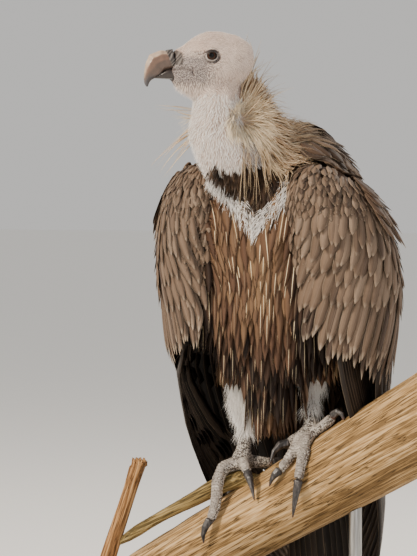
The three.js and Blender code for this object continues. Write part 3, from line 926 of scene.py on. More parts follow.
axis_y = WingForm.middle(height_of(face_middle)) * MM
from_axis = np.stack([face_middle[:, 0], face_middle[:, 1] - axis_y, face_normal[:, 2] * 0.05], axis=1)
outer_wing = faces_in("coverts") & (((from_axis * face_normal).sum(1) > 0.0) | (face_normal[:, 2] > 0.5))
wing_angle = np.degrees(np.arctan2(from_axis[:, 1], np.abs(from_axis[:, 0])))

# the white bands as x and height, seen from the front, and where the ruff's plumes fan out from
V_BANDS = (((-50, 694), (-22, 668), (12, 632)), ((104, 732), (54, 678), (12, 632)))
FAN_ROOTS = ((-6, -108, 775), (-54, -106, 775))


def band_distance(points):
    """How far points are, seen from the front, from the two white bands that meet on the breast."""
    x, z = points[:, 0] / MM, points[:, 2] / MM
    return np.minimum(*[from_line(x, z, band) for band in V_BANDS])


def crop_part(points, top=712):
    """Whether points lie in the dark patch between the white bands, below the throat."""
    x, z = points[:, 0] / MM, points[:, 2] / MM
    low = 632 + np.abs(x - 12) * 1.05
    high = top + 5 * np.sin(x * 0.13) + 0.1 * x
    return (z > low + 6) & (points[:, 1] < 0.0) & (z < high)


# where each kind of feather grows
face_height = height_of(face_middle)
body_front = faces_in("trunk", "ruff", "neck") & (face_middle[:, 1] < 0.02)
wavy = face_middle + rng.normal(0, 0.004, face_middle.shape)
crop_faces = body_front & (crop_part(wavy) | (faces_in("trunk") & crop_part(wavy, 745)))
neck_top = 0.806 + rng.normal(0, 0.002, len(face_middle))
band_faces = (band_distance(face_middle) < 12) & (face_middle[:, 1] < -0.045) & (face_normal[:, 1] < -0.15)
band_faces &= faces_in("trunk", "neck")
breast_faces = faces_in("trunk") & ~crop_faces & (band_distance(face_middle) > 5)
breast_faces &= (face_middle[:, 1] < 0.075) & (face_height < 716)
inner_wing = faces_in("coverts") & ~outer_wing
covered = crop_faces | breast_faces | (face_middle[:, 1] < -0.02)
mantle_faces = faces_in("trunk") & ~covered
mantle_faces |= inner_wing & (face_height > 560) & (face_middle[:, 1] > 0)
mantle_faces |= faces_in("ruff") & (face_height < 752) & (face_middle[:, 1] > -0.05)
mantle_faces &= face_height > 470
cuff_top = np.zeros(len(face_middle), dtype=bool)
for leg_side in SIDES:
    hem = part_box(f"cuff_{leg_side}")[0].z
    cuff_top |= (face_middle[:, 2] > hem - 0.004) & (face_middle[:, 0] * SIDES[leg_side] > 0)


def hemmed(roots, length):
    """Roots and lengths of feathers, cut short to end at the hems over the legs and under the tail."""
    x, z = roots[:, 0] / MM, height_of(roots)
    hem = np.where(x < -28, 409, np.where(x > 30, 414, 337)) + rng.uniform(-5, 5, len(roots))
    room = (z - hem) * 1.02
    kept = room > 13
    return roots[kept], np.minimum(length, room)[kept]


def make_breast():
    roots, _ = sow(skin_faces, breast_faces, 8.0 * MM)
    long_by = 44 + 20 * ramp(height_of(roots), 700, 520)
    roots, length = hemmed(roots, long_by * rng.uniform(0.8, 1.2, len(roots)))
    x, z = roots[:, 0] / MM, height_of(roots)
    count = len(roots)
    # painted shade: darker low on the belly, where it lies in shade, and towards the wings, along the edges
    # where their shadow falls; paler down the middle
    painted_belly_shade = ramp(z, 560, 470) * ramp(z, 402, 424)
    # the wings' painted shadow along both edges of the breast
    edge = ramp(np.minimum(x + 72, 71 - x), 15, 4)
    tone = 0.62 - 0.56 * painted_belly_shade - 0.5 * edge + 0.26 * hill((x - 15) / 20) * ramp(z, 520, 580)
    tone = np.clip(tone + 0.15 * rng.standard_normal(count), 0, 1)
    half = many(6.8, count, 0.2)
    streak = rng.choice([0.0, 0.12, 0.9], count, p=[0.5, 0.22, 0.28]) * (1 - 0.5 * painted_belly_shade)
    coat("breast_feathers", roots, breast_flow, BREAST, LANCE, length, half, 10, (2.6, 5.6), sway=0.07,
         tone=tone, streak=streak, rim=0.12, camber=0.05, thick=0.25, worn=0.08)


def make_crop_and_bands():
    roots, _ = sow(skin_faces, crop_faces, 4.4 * MM)
    coat("crop_feathers", roots, downward, CROP, SCALE, 14, 2.1, 6, (0.5, 5), rim=0.3)
    for band, top in (("low", 4.5), ("high", 9.0)):
        roots, _ = sow(skin_faces, band_faces, 1.9 * MM)
        roots = roots[rng.random(len(roots)) < 1.15 * hill(band_distance(roots) / 9.5) + 0.02]
        coat(f"breast_down_{band}", roots, band_flow, DOWN, WISP, 15, 0.5, 5, (1, top), thick=0.2, worn=0.2,
             sway=0.28)


def make_mantle_and_thighs():
    roots, _ = sow(skin_faces, mantle_faces, 10.5 * MM)
    back = ramp(height_of(roots), 740, 640)
    coat("mantle_feathers", roots, mantle_flow, MANTLE, BROAD, 34 + 34 * back, 7.0 + 3.4 * back, 9,
         (0.5, 7.5), tone=tone_for(len(roots), 0.36 + 0.16 * back, 0.22), rim=0.6)
    roots, _ = sow(skin_faces, faces_in("thigh"), 8.0 * MM)
    roots, length = hemmed(roots, 44)
    tone = tone_for(len(roots), 0.58, 0.2)
    streak = rng.choice([0.0, 0.15, 0.9], len(roots), p=[0.4, 0.25, 0.35])
    coat("thigh_feathers", roots, downward, BREAST, THIGH, length, 6.4, 9, (2.5, 6.0), tone=tone,
         streak=streak, rim=0.3)


def make_leg_cuffs():
    fluffy = faces_in("cuff") | (faces_in("leg") & cuff_top) | (faces_in("thigh") & (face_height < 425))
    for layer, (gap, out, length) in {"inner": (1.7, 0.35, 13), "outer": (1.8, 0.8, 16)}.items():
        rooted = sow(skin_faces, fluffy, gap * MM)
        loose(f"leg_cuff_down_{layer}", rooted, downward, out, 0.2, (0.45, 0.6), (length, 0.25), 5, 0.12,
              0.42, DOWN, WISP, vary=0.25, thick=0.2, camber=0.1, tones=(0.15, 0.15), worn=0.2)


BACK_NODES = [
    "trunk", "tail",
    "wing_left_coverts", "wing_left_secondaries",
    "wing_right_coverts", "wing_right_secondaries",
]


def make_back_coat():
    """Scapulars, back and upper tail feathers, over a form that closes the gaps between body and wings."""
    form = joined_copy("back_form", BACK_NODES)
    for swell in (13.0, -12.0):
        apply_modifier(form, "REMESH", mode="VOXEL", voxel_size=6 * MM)
        move_to(form.data, vertices_of(form.data) + normals_of(form.data) * swell * MM)
    relax(form.data, 6)
    over = Ground(form.data)
    facts = face_facts(form.data, over.points)
    bpy.data.objects.remove(form)
    middle, normal = facts[0].mean(1), facts[1]
    z = height_of(middle)
    wide = np.interp(z, [400, 480, 560, 640, 700], [40, 52, 60, 92, 150])
    back = (np.abs(middle[:, 0]) / MM < wide) & (normal[:, 1] > 0.12) & (z > 415)
    shoulder = (z > 655) & (normal[:, 2] > 0.3) & (middle[:, 1] > -0.055) & (np.abs(middle[:, 0]) > 0.055)
    roots, _ = sow(facts, back | shoulder, 9.5 * MM)
    lower = ramp(height_of(roots), 720, 600)
    coat("back_feathers", roots, mantle_flow, MANTLE, BROAD, 40 + 30 * lower, 7.2 + 2.6 * lower, 9,
         (0.5, 8.0), over=over, tone=tone_for(len(roots), 0.4 + 0.12 * lower, 0.22), rim=0.7)


def make_lesser_coverts(side):
    """Small round feathers over the shoulder and the leading edge, larger further down and back."""
    mine = outer_wing & (face_middle[:, 0] * SIDES[side] > 0)
    small = mine & ((face_height > 612) | ((wing_angle < -46) & (face_height > 490)))
    roots, _ = sow(skin_faces, small & (face_height > 655), 5.0 * MM)
    more, _ = sow(skin_faces, small & (face_height <= 655), 6.2 * MM)
    roots = np.concatenate([roots, more])
    level = height_of(roots)
    turn = np.degrees(np.arctan2(roots[:, 1] - WingForm.middle(level) * MM, np.abs(roots[:, 0])))
    rear = ramp(turn, 5, 45)
    edge = (turn < -44) & (level < 645)
    size = 17 + 11 * ramp(level, 705, 610)
    size = np.where(edge, 17, size) * (1 + 0.8 * rear)
    half = size * (0.25 - 0.1 * rear)
    high = np.where(edge, 1.5 + 5.0 * ramp(-turn, 47, 58), 1.5 + 4.3 * ramp(level, 618, 676))
    coat(f"lesser_coverts_{side}", roots, wing_flow, COVERT, ROUND, size, half, 7, (high - 3, high),
         camber=0.08, tone=tone_for(len(roots), 0.42, 0.2), rim=0.5)


def make_covert_rows(side):
    """Four rows of median coverts as one piece, then the two long rows below them."""
    form = WingForm(side, ["coverts", "secondaries", "primaries"])
    sheets, halves = [], []
    for top, bottom, count, half, deep in (
        (672, 606, 32, 7.2, 0.0),
        (652, 578, 34, 8.2, 0.3),
        (632, 548, 32, 8.8, 0.7),
        (610, 514, 31, 9.2, 1.1),
    ):
        a = spaced(-50, 68, count, 1.8)
        slope = np.linspace(14, -12, count)
        start = (a + 5, top + slope + rng.uniform(-6, 6, count))
        end = (a - 5, bottom + slope + rng.uniform(-13, 13, count))
        sheets.append(form.lay(start, end, 10, many(-6.5 - deep, count), many(1.4 - deep, count, 0.4)))
        halves.append((half, count))
    shafts = [np.concatenate([sheet[k] for sheet in sheets]) for k in range(3)]
    half = np.concatenate([many(*row, 0.14) for row in halves])
    grow(f"median_coverts_{side}", shafts, half, COVERT, (0.62, 3.2, 0.4), vary=None, thick=0.4, camber=0.12,
         tones=(0.46, 0.2), streak=0.12, rim=0.4)
    for row, count, half, deep, beyond, shade in (
        ("under", 44, 6.4, -1.5, 14, 0.12),
        ("greater", 50, 6.6, 0.0, 0, 0.36),
    ):
        a = spaced(-50, 74, count, 1.4)
        tips = np.interp(a, [-50, -38, -15, 10, 50, 74], [497, 474, 448, 430, 408, 398])
        tips += rng.uniform(-15, 15, count) - beyond
        start = (a + 6, np.full(count, 600.0))
        end = (a - 2 - 3 * ramp(a, -40, 0), tips)
        shafts = form.lay(start, end, 14, many(-8.5 + deep, count), many(1.8 + deep, count, 0.4), 1.4)
        grow(f"{row}_coverts_{side}", shafts, half, COVERT, (0.72, 3.0, 0.45), vary=0.18, thick=0.5,
             camber=0.14, tones=(shade, 0.22), streak=0.2, rim=0.65)


def make_flight_feathers(side):
    form = WingForm(side, ["secondaries"])
    count = 19
    a = spaced(-8, 75, count, 0.8)
    rank = np.linspace(0, 1, count)
    tips = np.interp(rank, [0, 0.35, 0.7, 1], [336, 284, 256, 246]) + rng.uniform(-6, 6, count)
    start, end = (a, np.full(count, 496.0)), (a + 7 - 6 * rank, tips)
    shafts = form.lay(start, end, 13, many(-1.5, count), many(0.9, count, 0.5))
    secondaries = grow(
        f"secondaries_{side}", shafts, 12.5, REMEX, (0.75, 3.4, 0.6), vary=0.08, thick=0.6, camber=0.18,
        tones=(0.45, 0.3), streak=0.3, rim=0.4, worn=0.015,
    )
    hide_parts(f"wing_{side}_secondaries")
    form = WingForm(side, ["primaries"])
    count = 11
    rank = np.linspace(0, 1, count)
    start, end = (-31 + 20 * rank, np.full(count, 496.0)), (15 + 40 * rank, 88 + 84 * rank)
    shafts = form.lay(start, end, 17, many(0.6, count) - 5 * rank, many(1.6, count) - 6 * rank, 1.25)
    primaries = grow(
        f"primaries_{side}", shafts, 9.5, REMEX, (0.6, 3.0, 0.6), vary=0.05, thick=0.4, camber=0.12,
        tones=(0.45, 0.25), streak=0.5, rim=0.7, worn=0.015,
    )
    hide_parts(f"wing_{side}_primaries")


def make_tail():
    """Twelve stiff feathers in a shallow arch, the middle ones longest."""
    low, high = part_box("tail")
    count = 12
    rank = np.linspace(-1, 1, count)[:, None]
    s = stations(11)[None, :]
    z = high.z + (low.z - high.z) * (s + 0 * rank) * (1 - 0.05 * np.abs(rank))
    y = np.interp(z / MM, [92, 112, 180, 250, 318, 378], [168, 164, 150, 134, 118, 104]) * MM
    wide = np.interp(s, [0, 0.4, 1], [0.4, 0.75, 0.92]) * (high.x - low.x) / 2
    x = (low.x + high.x) / 2 + rank * wide
    shafts = facing(np.stack([x, y + 0.002 * np.abs(rank), z], axis=-1), np.array([0, 1.0, 0]))
    tail = grow("tail_feathers", shafts, 12.0, REMEX, (0.7, 4, 0.6), vary=0.05, thick=0.7, camber=0.1,
                tones=(0.4, 0.2), streak=0.5, rim=0.5)
    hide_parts("tail")


def make_neck():
    neck = neck_faces()
    front = face_middle[:, 1] < -0.118
    for name, part in (("front", neck & front), ("back", neck & ~front)):
        roots, _ = sow(skin_faces, part, 1.7 * MM)
        coat(f"neck_down_{name}", roots, neck_flow, DOWN, TUFT, 7.0, 0.45, 4, (0.3, 3.4), sway=0.26,
             thick=0.13, tone=tone_for(len(roots), 0.25, 0.35), worn=0.2)


def neck_faces():
    return faces_in("neck", "head") & (face_middle[:, 2] <= neck_top + 0.004) & ~crop_faces


def make_ruff():
    """Laid plumes in clumps, loose ones over them, and pale down where both start."""
    ruff = faces_in("ruff") & ~crop_faces
    roots, _ = sow(skin_faces, ruff, 3.1 * MM)
    near, below = fan_places(roots)
    turn = np.arctan2(roots[:, 2] - 0.775, roots[:, 1] + 0.108)
    clump = np.sin(19 * turn + 2.5 * np.sin(7 * turn)) * ramp(near, 8, 30)
    tone = 0.36 + 0.3 * below + 0.6 * ramp(near, 52, 12) + 0.22 * clump
    tone = np.clip(tone + 0.28 * rng.standard_normal(len(roots)), 0, 1)
    coat("ruff_plumes", roots, ruff_flow, RUFF, (0.35, 1.3, 0.4), 32 + 26 * ramp(near, 0, 30), 1.15, 9,
         (1, 14), sway=0.13, tone=tone, streak=0.5, worn=0.12, thick=0.3)
    rooted = sow(skin_faces, ruff & (face_middle[:, 1] > -0.112), 6.0 * MM)
    loose("ruff_loose_plumes", rooted, ruff_flow, 0.42, 0.1, (0.25, 0.8), (52, 0.35), 10, 0.08,
          1.05, RUFF, (0.3, 1.2, 0.5), vary=0.3, thick=0.22, camber=0.1, tones=(0.7, 0.22), streak=0.4,
          rim=0.4, worn=0.12)
    near, _ = fan_places(face_middle)
    rooted = sow(skin_faces, (ruff & (near < 36)) | (neck_faces() & (near < 20)), 1.4 * MM)
    loose("ruff_root_down", rooted, ruff_flow, 0.55, 0.12, (0.35, 0.8), (21, 0.35), 7, 0.1,
          0.65, ROOT_DOWN, (0.35, 1.2, 0.5), vary=0.3, thick=0.18, camber=0.1, tones=(0.3, 0.3), worn=0.2)


def fan_places(points):
    """How far points are from the nearer fan root in millimetres, and how far below it, from 0 to 1."""
    away = np.stack([points / MM - np.array(root) for root in FAN_ROOTS])
    far = np.linalg.norm(away, axis=2)
    nearest = far.argmin(0)
    low = -away[nearest, np.arange(len(points)), 2]
    return far.min(0), ramp(low / np.maximum(far.min(0), 1), -0.2, 0.7)


# Groups of plumes that stand clear of the ruff: root, tip, and how far they sag on the way, in millimetres.
LONG_PLUMES = (
    ((2, -112, 748), (8, -124, 664), -2), ((1, -112, 744), (7, -124, 660), -2),
    ((-68, -118, 790), (-118, -132, 796), -2), ((-66, -120, 782), (-100, -130, 788), 2),
    ((-70, -112, 762), (-142, -108, 716), -6), ((-68, -116, 752), (-128, -112, 702), -7),
    ((-66, -116, 770), (-108, -122, 742), -5), ((-66, -120, 760), (-96, -124, 726), -4),
    ((16, -108, 730), (22, -114, 668), 3), ((10, -112, 728), (14, -118, 684), 2),
    ((22, -104, 740), (34, -112, 690), 5), ((30, -100, 735), (46, -104, 696), 5),
    ((8, -112, 742), (8, -122, 700), 2), ((26, -104, 728), (36, -110, 678), 5),
)


def make_long_plumes():
    """Four plumes for each line of the list, scattered about it."""
    ends = np.array([[p[0], p[1]] for p in LONG_PLUMES], float)
    sag = np.array([p[2] for p in LONG_PLUMES], float)
    ends = np.repeat(ends, 4, axis=0)
    ends += rng.normal(0, 1, ends.shape) * np.array([[1.6], [4.0]])
    sag = np.repeat(sag, 4) * rng.uniform(0.4, 1.5, len(ends))
    s = stations(14)[None, :, None]
    shaft = ends[:, None, 0] * (1 - s) + ends[:, None, 1] * s - UP * (4 * sag[:, None, None] * s * (1 - s))
    shaft, side, up = facing(shaft, -HEAD_FORWARD + UP * 0.3)
    grow("ruff_long_plumes", (shaft * MM, side, up), 0.9, RUFF, (0.35, 1.2, 0.4), vary=0.35, thick=0.25,
         camber=0.1, tones=(0.9, 0.15), streak=0.5, rim=0.5)


def make_head_down():
    """Short down on the crown and cheeks, sparse bristles on the face, and neither on lids and gape."""
    forward, left, height = head_axes(face_middle)
    around, _ = round_eye(forward, height)
    head = (face_middle[:, 2] > neck_top) & ~faces_in("ruff")
    aside = np.abs(left) > 8
    chance = rng.random(len(face_middle))
    open_skin = aside & (around + 0.25 * np.maximum(height, -2) < 9.0)
    open_skin |= aside & (from_line(forward, height, GAPE) < 1.2)
    # no bristles along the brow line, where its shadow is painted on the skin
    open_skin |= aside & (from_line(forward, height, BROW) < 1.5)
    open_skin |= bare_front(forward, height) > 0.2 + 0.6 * chance
    open_skin |= (forward > 49) & (height < 8)
    face = face_share(forward, height, around) > 0.05 + 0.9 * rng.random(len(face_middle))
    roots, _ = sow(skin_faces, head & ~face & ~open_skin, 1.35 * MM)
    forward, _, height = head_axes(roots)
    long_by = 3.4 + 5.0 * ramp(height, -34, -50) * ramp(forward, -5, 10)
    coat("head_down", roots, head_flow, HEAD_DOWN, TUFT, long_by, 0.33, 4, (0.1, 1.2 + 0.3 * (long_by - 3.4)),
         thick=0.09, tone=tone_for(len(roots), 0.15, 0.2), worn=0.15)
    roots, _ = sow(skin_faces, head & face & ~open_skin, 1.4 * MM)
    coat("face_bristles", roots, head_flow, STIPPLE, TUFT, 1.9, 0.28, 3, (0.05, 0.45), thick=0.09)


make_breast()
make_crop_and_bands()
make_mantle_and_thighs()
make_leg_cuffs()
make_back_coat()
for wing_side in SIDES:
    make_lesser_coverts(wing_side)
    make_covert_rows(wing_side)
    make_flight_feathers(wing_side)
make_tail()
make_neck()
make_ruff()
make_long_plumes()
make_head_down()


# ---------------------------------------------------------------- skin finish
def paint_regions(mesh, points, region):
    """Masks for skin under white down, under the ruff and on the legs, with soft edges."""
    clear = ~crop_part(points)
    near_fan = fan_places(points)[0] < 24
    pale = among(region, "head", "neck", "cuff") & clear
    under_band = (band_distance(points) < 9) & (points[:, 1] < -0.045)
    pale |= under_band & among(region, "head", "neck", "ruff", "trunk")
    pale |= among(region, "thigh") & (points[:, 2] < 0.42)
    pale |= among(region, "ruff") & near_fan & clear
    buff = among(region, "ruff") & clear & ~pale
    around = neighbours(mesh)
    for name, chosen in (("pale", pale), ("buff", buff), ("leg", among(region, "leg"))):
        values = chosen.astype(float)[:, None]
        for _ in range(3):
            values = averaged(values, around)
        float_layer(mesh, name, values[:, 0])


def paint_face(mesh, points, on_head):
    """Masks for the grey face, the cere and the painted light and shade of its wrinkles, the painted shade in
    the folds and under the brow, and the rims of the lids.
    """
    forward, left, height = head_axes(points)
    from_eye, angle = round_eye(forward, height)
    side = on_head * ramp(np.abs(left), 5, 9)
    # painted shade in the gape's crease, in the hollow in front of the eye and along the brow
    painted_fold_shade = hill(from_line(forward, height, GAPE) / 1.1)
    painted_fold_shade = np.maximum(painted_fold_shade, 0.8 * hill((forward - 21) / 9, (height - 1 - 0.1 * forward) / 3.4))
    painted_fold_shade = np.maximum(painted_fold_shade, 1.1 * hill(from_line(forward, height, BROW) / 1.8))
    lids = from_eye - eye_opening(angle)
    rims_and_brow_shade = hill((lids + 0.2) / 0.75) + 0.6 * hill((lids - 2.8) / 0.5)
    # painted shade under the brow, over the top of the eye
    rims_and_brow_shade += hill((lids - 1.6) / 1.5) * ramp(np.sin(angle), 0.1, 0.7)
    pale_rim = hill((lids - 1.3) / 0.5) * ramp(np.sin(angle), 0.3, -0.3)
    float_layer(mesh, "face", face_share(forward, height, from_eye) * on_head)
    float_layer(mesh, "cere", bare_front(forward, height) * on_head)
    # painted light and shade on the cere's folds: lighter on their crests, darker between them
    float_layer(mesh, "wrinkle_painted_shading", 0.5 + 0.5 * wrinkles(forward, height))
    float_layer(mesh, "lid", np.minimum(rims_and_brow_shade, 1) * side)
    float_layer(mesh, "lid_edge", pale_rim * side)
    float_layer(mesh, "painted_fold_shade", np.minimum(painted_fold_shade, 1.1) * side)


def skin_material():
    """Thin bird skin: grey and dotted on the face, pale or brown under feathers, pebbled on the legs, with
    painted shade in the gaps under the coat, in the folds and under the brow, and painted light on the crests
    of the cere's folds.
    """
    material, tree, shader = start_material("bird_skin", Roughness=0.6, Specular_IOR_Level=0.3)
    shader.inputs["Subsurface Weight"].default_value = 0.08
    shader.inputs["Subsurface Radius"].default_value = (0.002, 0.001, 0.0006)
    place = add(tree, "TexCoord", out=3)
    dots = add(tree, "TexVoronoi", {"Vector": place, "Scale": 1 / (1.5 * MM)})
    pebbles = add(tree, "TexVoronoi", {"Vector": place, "Scale": 1 / (2.1 * MM)})
    mottle = add(tree, "TexNoise", {"Vector": place, "Scale": 0.5 / (9 * MM), "Detail": 3.0})
    # dark brown under the feathers and a dimmed pinkish white under down: skin colours darkened as painted
    # shade, so that the gaps in the coat read dark
    base = add(tree, "ValToRGB", [mottle], stops=[(0.3, "#2b1d14"), (0.7, "#4a3526")])
    neck = add(tree, "ValToRGB", [mottle], stops=[(0.3, "#a98f80"), (0.7, "#d3bfb2")])
    # pale skin peppered with dark grey on the face, and pale pebbles with dark gaps on the legs
    speckle = add(tree, "ValToRGB", [dots], stops=[(0.1, "#cdc2ba"), (0.35, "#90847f"), (0.62, "#554c4a")])
    shell = add(tree, "ValToRGB", [pebbles], stops=[(0.2, "#d3ccc2"), (0.45, "#a79f95"), (0.62, "#4d4641")])
    # the cere: dark, with painted highlights on the crests of its folds and painted shade between them
    wrinkle_painted_shading = add(tree, "Attribute", out=2, attribute_name="wrinkle_painted_shading")
    bare = add(tree, "ValToRGB", [wrinkle_painted_shading], stops=[(0.1, "#322d2b"), (0.7, "#4b4542"), (1.0, "#746c66")])
    layers = {
        "pale": (1.0, neck),
        # the buff skin under the ruff, darkened as painted shade in the gaps between the plumes
        "buff": (1.0, "#8f6f4e"),
        "face": (1.0, speckle),
        "leg": (1.0, shell),
        # painted shade in the gape, the hollow before the eye and under the brow
        "painted_fold_shade": (0.75, "#4a4040"),
        "cere": (0.92, bare),
        "lid_edge": (0.8, "#d8cdc4"),
        # dark lid rims, with painted shade under the brow over the eye
        "lid": (0.92, "#231d1c"),
    }
    shares = {}
    for name, (most, colour) in layers.items():
        shares[name] = add(tree, "Attribute", out=2, attribute_name=name)
        share = add(tree, "Math", [shares[name], most], operation="MULTIPLY")
        base = add(tree, "Mix", {0: share, 6: base, 7: colour}, 2, data_type="RGBA")
    # both kinds of cell stand up from the gaps between them, the face's half as far
    on_leg = add(tree, "Math", [pebbles, shares["leg"]], operation="MULTIPLY")
    on_face = add(tree, "Math", [dots, shares["face"]], operation="MULTIPLY")
    relief = add(tree, "Math", [on_face, 0.5, on_leg], operation="MULTIPLY_ADD")
    relief = add(tree, "Math", [relief, -1.0], operation="MULTIPLY")
    bump = add(tree, "Bump", {"Height": relief, "Distance": 0.7 * MM, "Strength": 0.8})
    plug(tree, shader, Base_Color=base, Normal=bump)
    return material


def paint_skin():
    mesh = skin.data
    points = vertices_of(mesh)
    region = region_of(points)
    paint_regions(mesh, points, region)
    paint_face(mesh, points, (points[:, 2] > 0.8) & ~among(region, "ruff"))
    dress(skin, skin_material(), "skin", *(node for node in ALL_FLESH if not node.startswith("eye")))


# ---------------------------------------------------------------- eyes
def make_eye(side, material):
    """A ball with a clear cornea that bulges a little, and rings of colour round its gaze."""
    node = f"eye_{side}"
    low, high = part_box(node)
    bpy.ops.object.select_all(action="DESELECT")
    bpy.ops.mesh.primitive_uv_sphere_add(segments=64, ring_count=48, radius=EYE_RADIUS * MM)
    eye = bpy.context.object
    eye.name = f"eye_ball_{side}"
    mesh = eye.data
    points = vertices_of(mesh)
    gaze = unit(HEAD_LEFT * SIDES[side] + HEAD_FORWARD * 0.1 - UP * 0.03)
    turn = Vector((0, 0, 1)).rotation_difference(Vector(gaze)).to_matrix()
    off_axis = np.hypot(points[:, 0], points[:, 1]) / MM
    front = points[:, 2] > 0
    bulge = np.where(front, 1 + 0.07 * np.exp(-((off_axis / 4.6) ** 4)), 1.0)
    float_layer(mesh, "ring", np.where(front, off_axis, 20) / 10)
    move_to(mesh, (points * bulge[:, None]) @ np.array(turn).T + np.array((low + high) / 2))
    smooth_shaded(mesh)
    dress(eye, material, "eye", node)


def eye_material():
    """A wet eye: black pupil, dark amber iris with a black rim, under a clear film that catches the light."""
    material, tree, shader = start_material(
        "wet_brown_eye", Roughness=0.25, Specular_IOR_Level=0.08, Coat_Weight=0.7, Coat_Roughness=0.02,
        Coat_IOR=1.28,
    )
    place = add(tree, "TexCoord", out=3)
    ripple = add(tree, "TexNoise", {"Vector": place, "Scale": 0.5 / (1.2 * MM), "Detail": 3.0})
    ring = add(tree, "Attribute", out=2, attribute_name="ring")
    ring = add(tree, "Math", [ripple, 0.07, ring], operation="MULTIPLY_ADD")
    stops = [(0.33, "#030202"), (0.37, "#1d0e07"), (0.5, "#43230f"), (0.6, "#170b06"), (0.66, "#050403")]
    plug(tree, shader, Base_Color=add(tree, "ValToRGB", [ring], stops=stops))
    return material


# ---------------------------------------------------------------- bill
# the cutting edge of the upper bill, as forward and height
TOMIUM = [(87, -38), (82, -32), (71, -29), (60, -20), (50, -19)]


def bill_material():
    """Grown horn, worn along its growth lines, with painted light along the top, painted shade at the cutting
    edge and on the lower half, and the dark leathery cere over its root.
    """
    material, tree, shader = start_material("bill_horn", Coat_Weight=0.1, Coat_Roughness=0.3)
    place = add(tree, "TexCoord", out=3)
    painted_horn_shading, cere, wrinkle_painted_shading, tip = (
        add(tree, "Attribute", out=2, attribute_name=key) for key in ("painted_horn_shading", "cere", "wrinkle_painted_shading", "tip")
    )
    streaks = add(tree, "TexNoise", {"Vector": place, "Scale": 0.5 / (2.5 * MM), "Detail": 4.0})
    worn = add(tree, "Math", [streaks, 0.3, -0.15], operation="MULTIPLY_ADD")
    shade = add(tree, "Math", [painted_horn_shading, worn], operation="ADD")
    # horn colour under painted light and shade: dark at the cutting edge, pinkish brown on the side, ivory
    # along the top where it faces up and forward, blue-grey at the hook
    stops = [(0.05, "#2b2320"), (0.35, "#5a4940"), (0.65, "#775c4d"), (1.0, "#c0ab95")]
    horn = add(tree, "ValToRGB", [shade], stops=stops)
    horn = add(tree, "Mix", {0: tip, 6: horn, 7: "#4a484c"}, 2, data_type="RGBA")
    # the cere on the bill: dark, with painted highlights on the crests of its folds
    dark = add(tree, "ValToRGB", [wrinkle_painted_shading], stops=[(0.1, "#2e2927"), (0.7, "#48423f"), (1.0, "#716963")])
    base = add(tree, "Mix", {0: cere, 6: horn, 7: dark}, 2, data_type="RGBA")
    rough = add(tree, "Math", [cere, 0.25, 0.36], operation="MULTIPLY_ADD")
    bump = add(tree, "Bump", {"Height": streaks, "Distance": 0.25 * MM, "Strength": 0.5})
    plug(tree, shader, Base_Color=base, Roughness=rough, Normal=bump)
    return material


def shape_upper_bill(mesh):
    """The upper half: a swollen cere with its border and nostril, a rounded crest along the top and a hooked
    tip, with painted light and shade.
    """
    points = vertices_of(mesh)
    normals = normals_of(mesh)
    forward, left, height = head_axes(points)
    border = 60.5 + 0.42 * (height - 5)
    soft = ramp(forward, border + 0.8, border - 0.8)
    nostril = np.hypot((forward - 55.5 + 0.25 * (height + 3)) / 1.3, (height + 1) / 3.2)
    rise = -2.0 * hill(nostril) + 0.3 * soft
    rise += 0.4 * soft * wrinkles(forward, height)
    rise += 0.9 * hill(left / 3.6) * ramp(normals[:, 2], 0.2, 0.7) + 0.35
    rise -= 0.4 * hill((forward - border - 0.6) / 0.9)
    move_to(mesh, points + normals * (rise * MM)[:, None])
    # painted light and shade: lighter where the horn faces up and forward, darker near the cutting edge
    top = normals[:, 2] + 0.9 * (normals @ HEAD_FORWARD)
    edge = ramp(from_line(forward, height, TOMIUM), 5.0, 1.0)
    float_layer(mesh, "painted_horn_shading", 0.34 + 0.6 * ramp(top, -0.1, 1.15) - 0.3 * edge)
    float_layer(mesh, "cere", soft)
    float_layer(mesh, "tip", 0.85 * ramp(-height, 20, 38))
    float_layer(mesh, "wrinkle_painted_shading", 0.5 + 0.5 * wrinkles(forward, height))


def shape_lower_bill(mesh):
    """The lower half, whose edge bows up to meet the upper one."""
    points = vertices_of(mesh)
    forward, _, height = head_axes(points)
    points[:, 2] += ramp(height, -30, -26) * (5.2 * hill((forward - 57) / 9.5) * MM)
    move_to(mesh, points)
    # painted shade: the lower half nearly black, a little lighter towards the tip
    float_layer(mesh, "painted_horn_shading", 0.16 * ramp(forward, 56, 76) - 0.12)
    float_layer(mesh, "cere", ramp(forward, 54, 49) * 0.7)
    float_layer(mesh, "tip", np.zeros(len(points)))
    float_layer(mesh, "wrinkle_painted_shading", 0.5 + 0.5 * wrinkles(forward, height))


def make_bill():
    material = bill_material()
    upper = refined_copy("bill_upper_horn", ["bill_upper"], 1.0, 48)
    lower = refined_copy("bill_lower_horn", ["bill_lower"], 1.0, 6)
    shape_upper_bill(upper.data)
    shape_lower_bill(lower.data)
    dress(upper, material, "horn", "bill_upper")
    dress(lower, material, "horn", "bill_lower")


# ---------------------------------------------------------------- claws and toes
# the middle lines of the toes from the ankle out, in millimetres
TOES = {
    "right": {
        "middle": ((-58, -18, 300), (-70, -34, 293), (-72, -45, 268), (-71, -48, 246), (-77, -57, 223)),
        "inner": ((-46, -16, 301), (-35, -32, 300), (-27, -42, 293)),
        "outer": ((-60, 6, 299), (-78, 22, 287), (-92, 38, 264)),
        "hind": ((-46, 6, 301), (-33, 16, 300), (-19, 24, 300)),
    },
    "left": {
        "middle": ((56, -18, 343), (60, -36, 331), (61.5, -54, 310), (61, -63, 288)),
        "inner": ((46, -16, 344), (44, -32, 330), (36, -44, 310), (27, -50, 298)),
        "outer": ((62, -6, 346), (77, -12, 358), (88, -12, 369)),
        "hind": ((44, 4, 345), (33, -4, 339), (23, -13, 331)),
    },
}


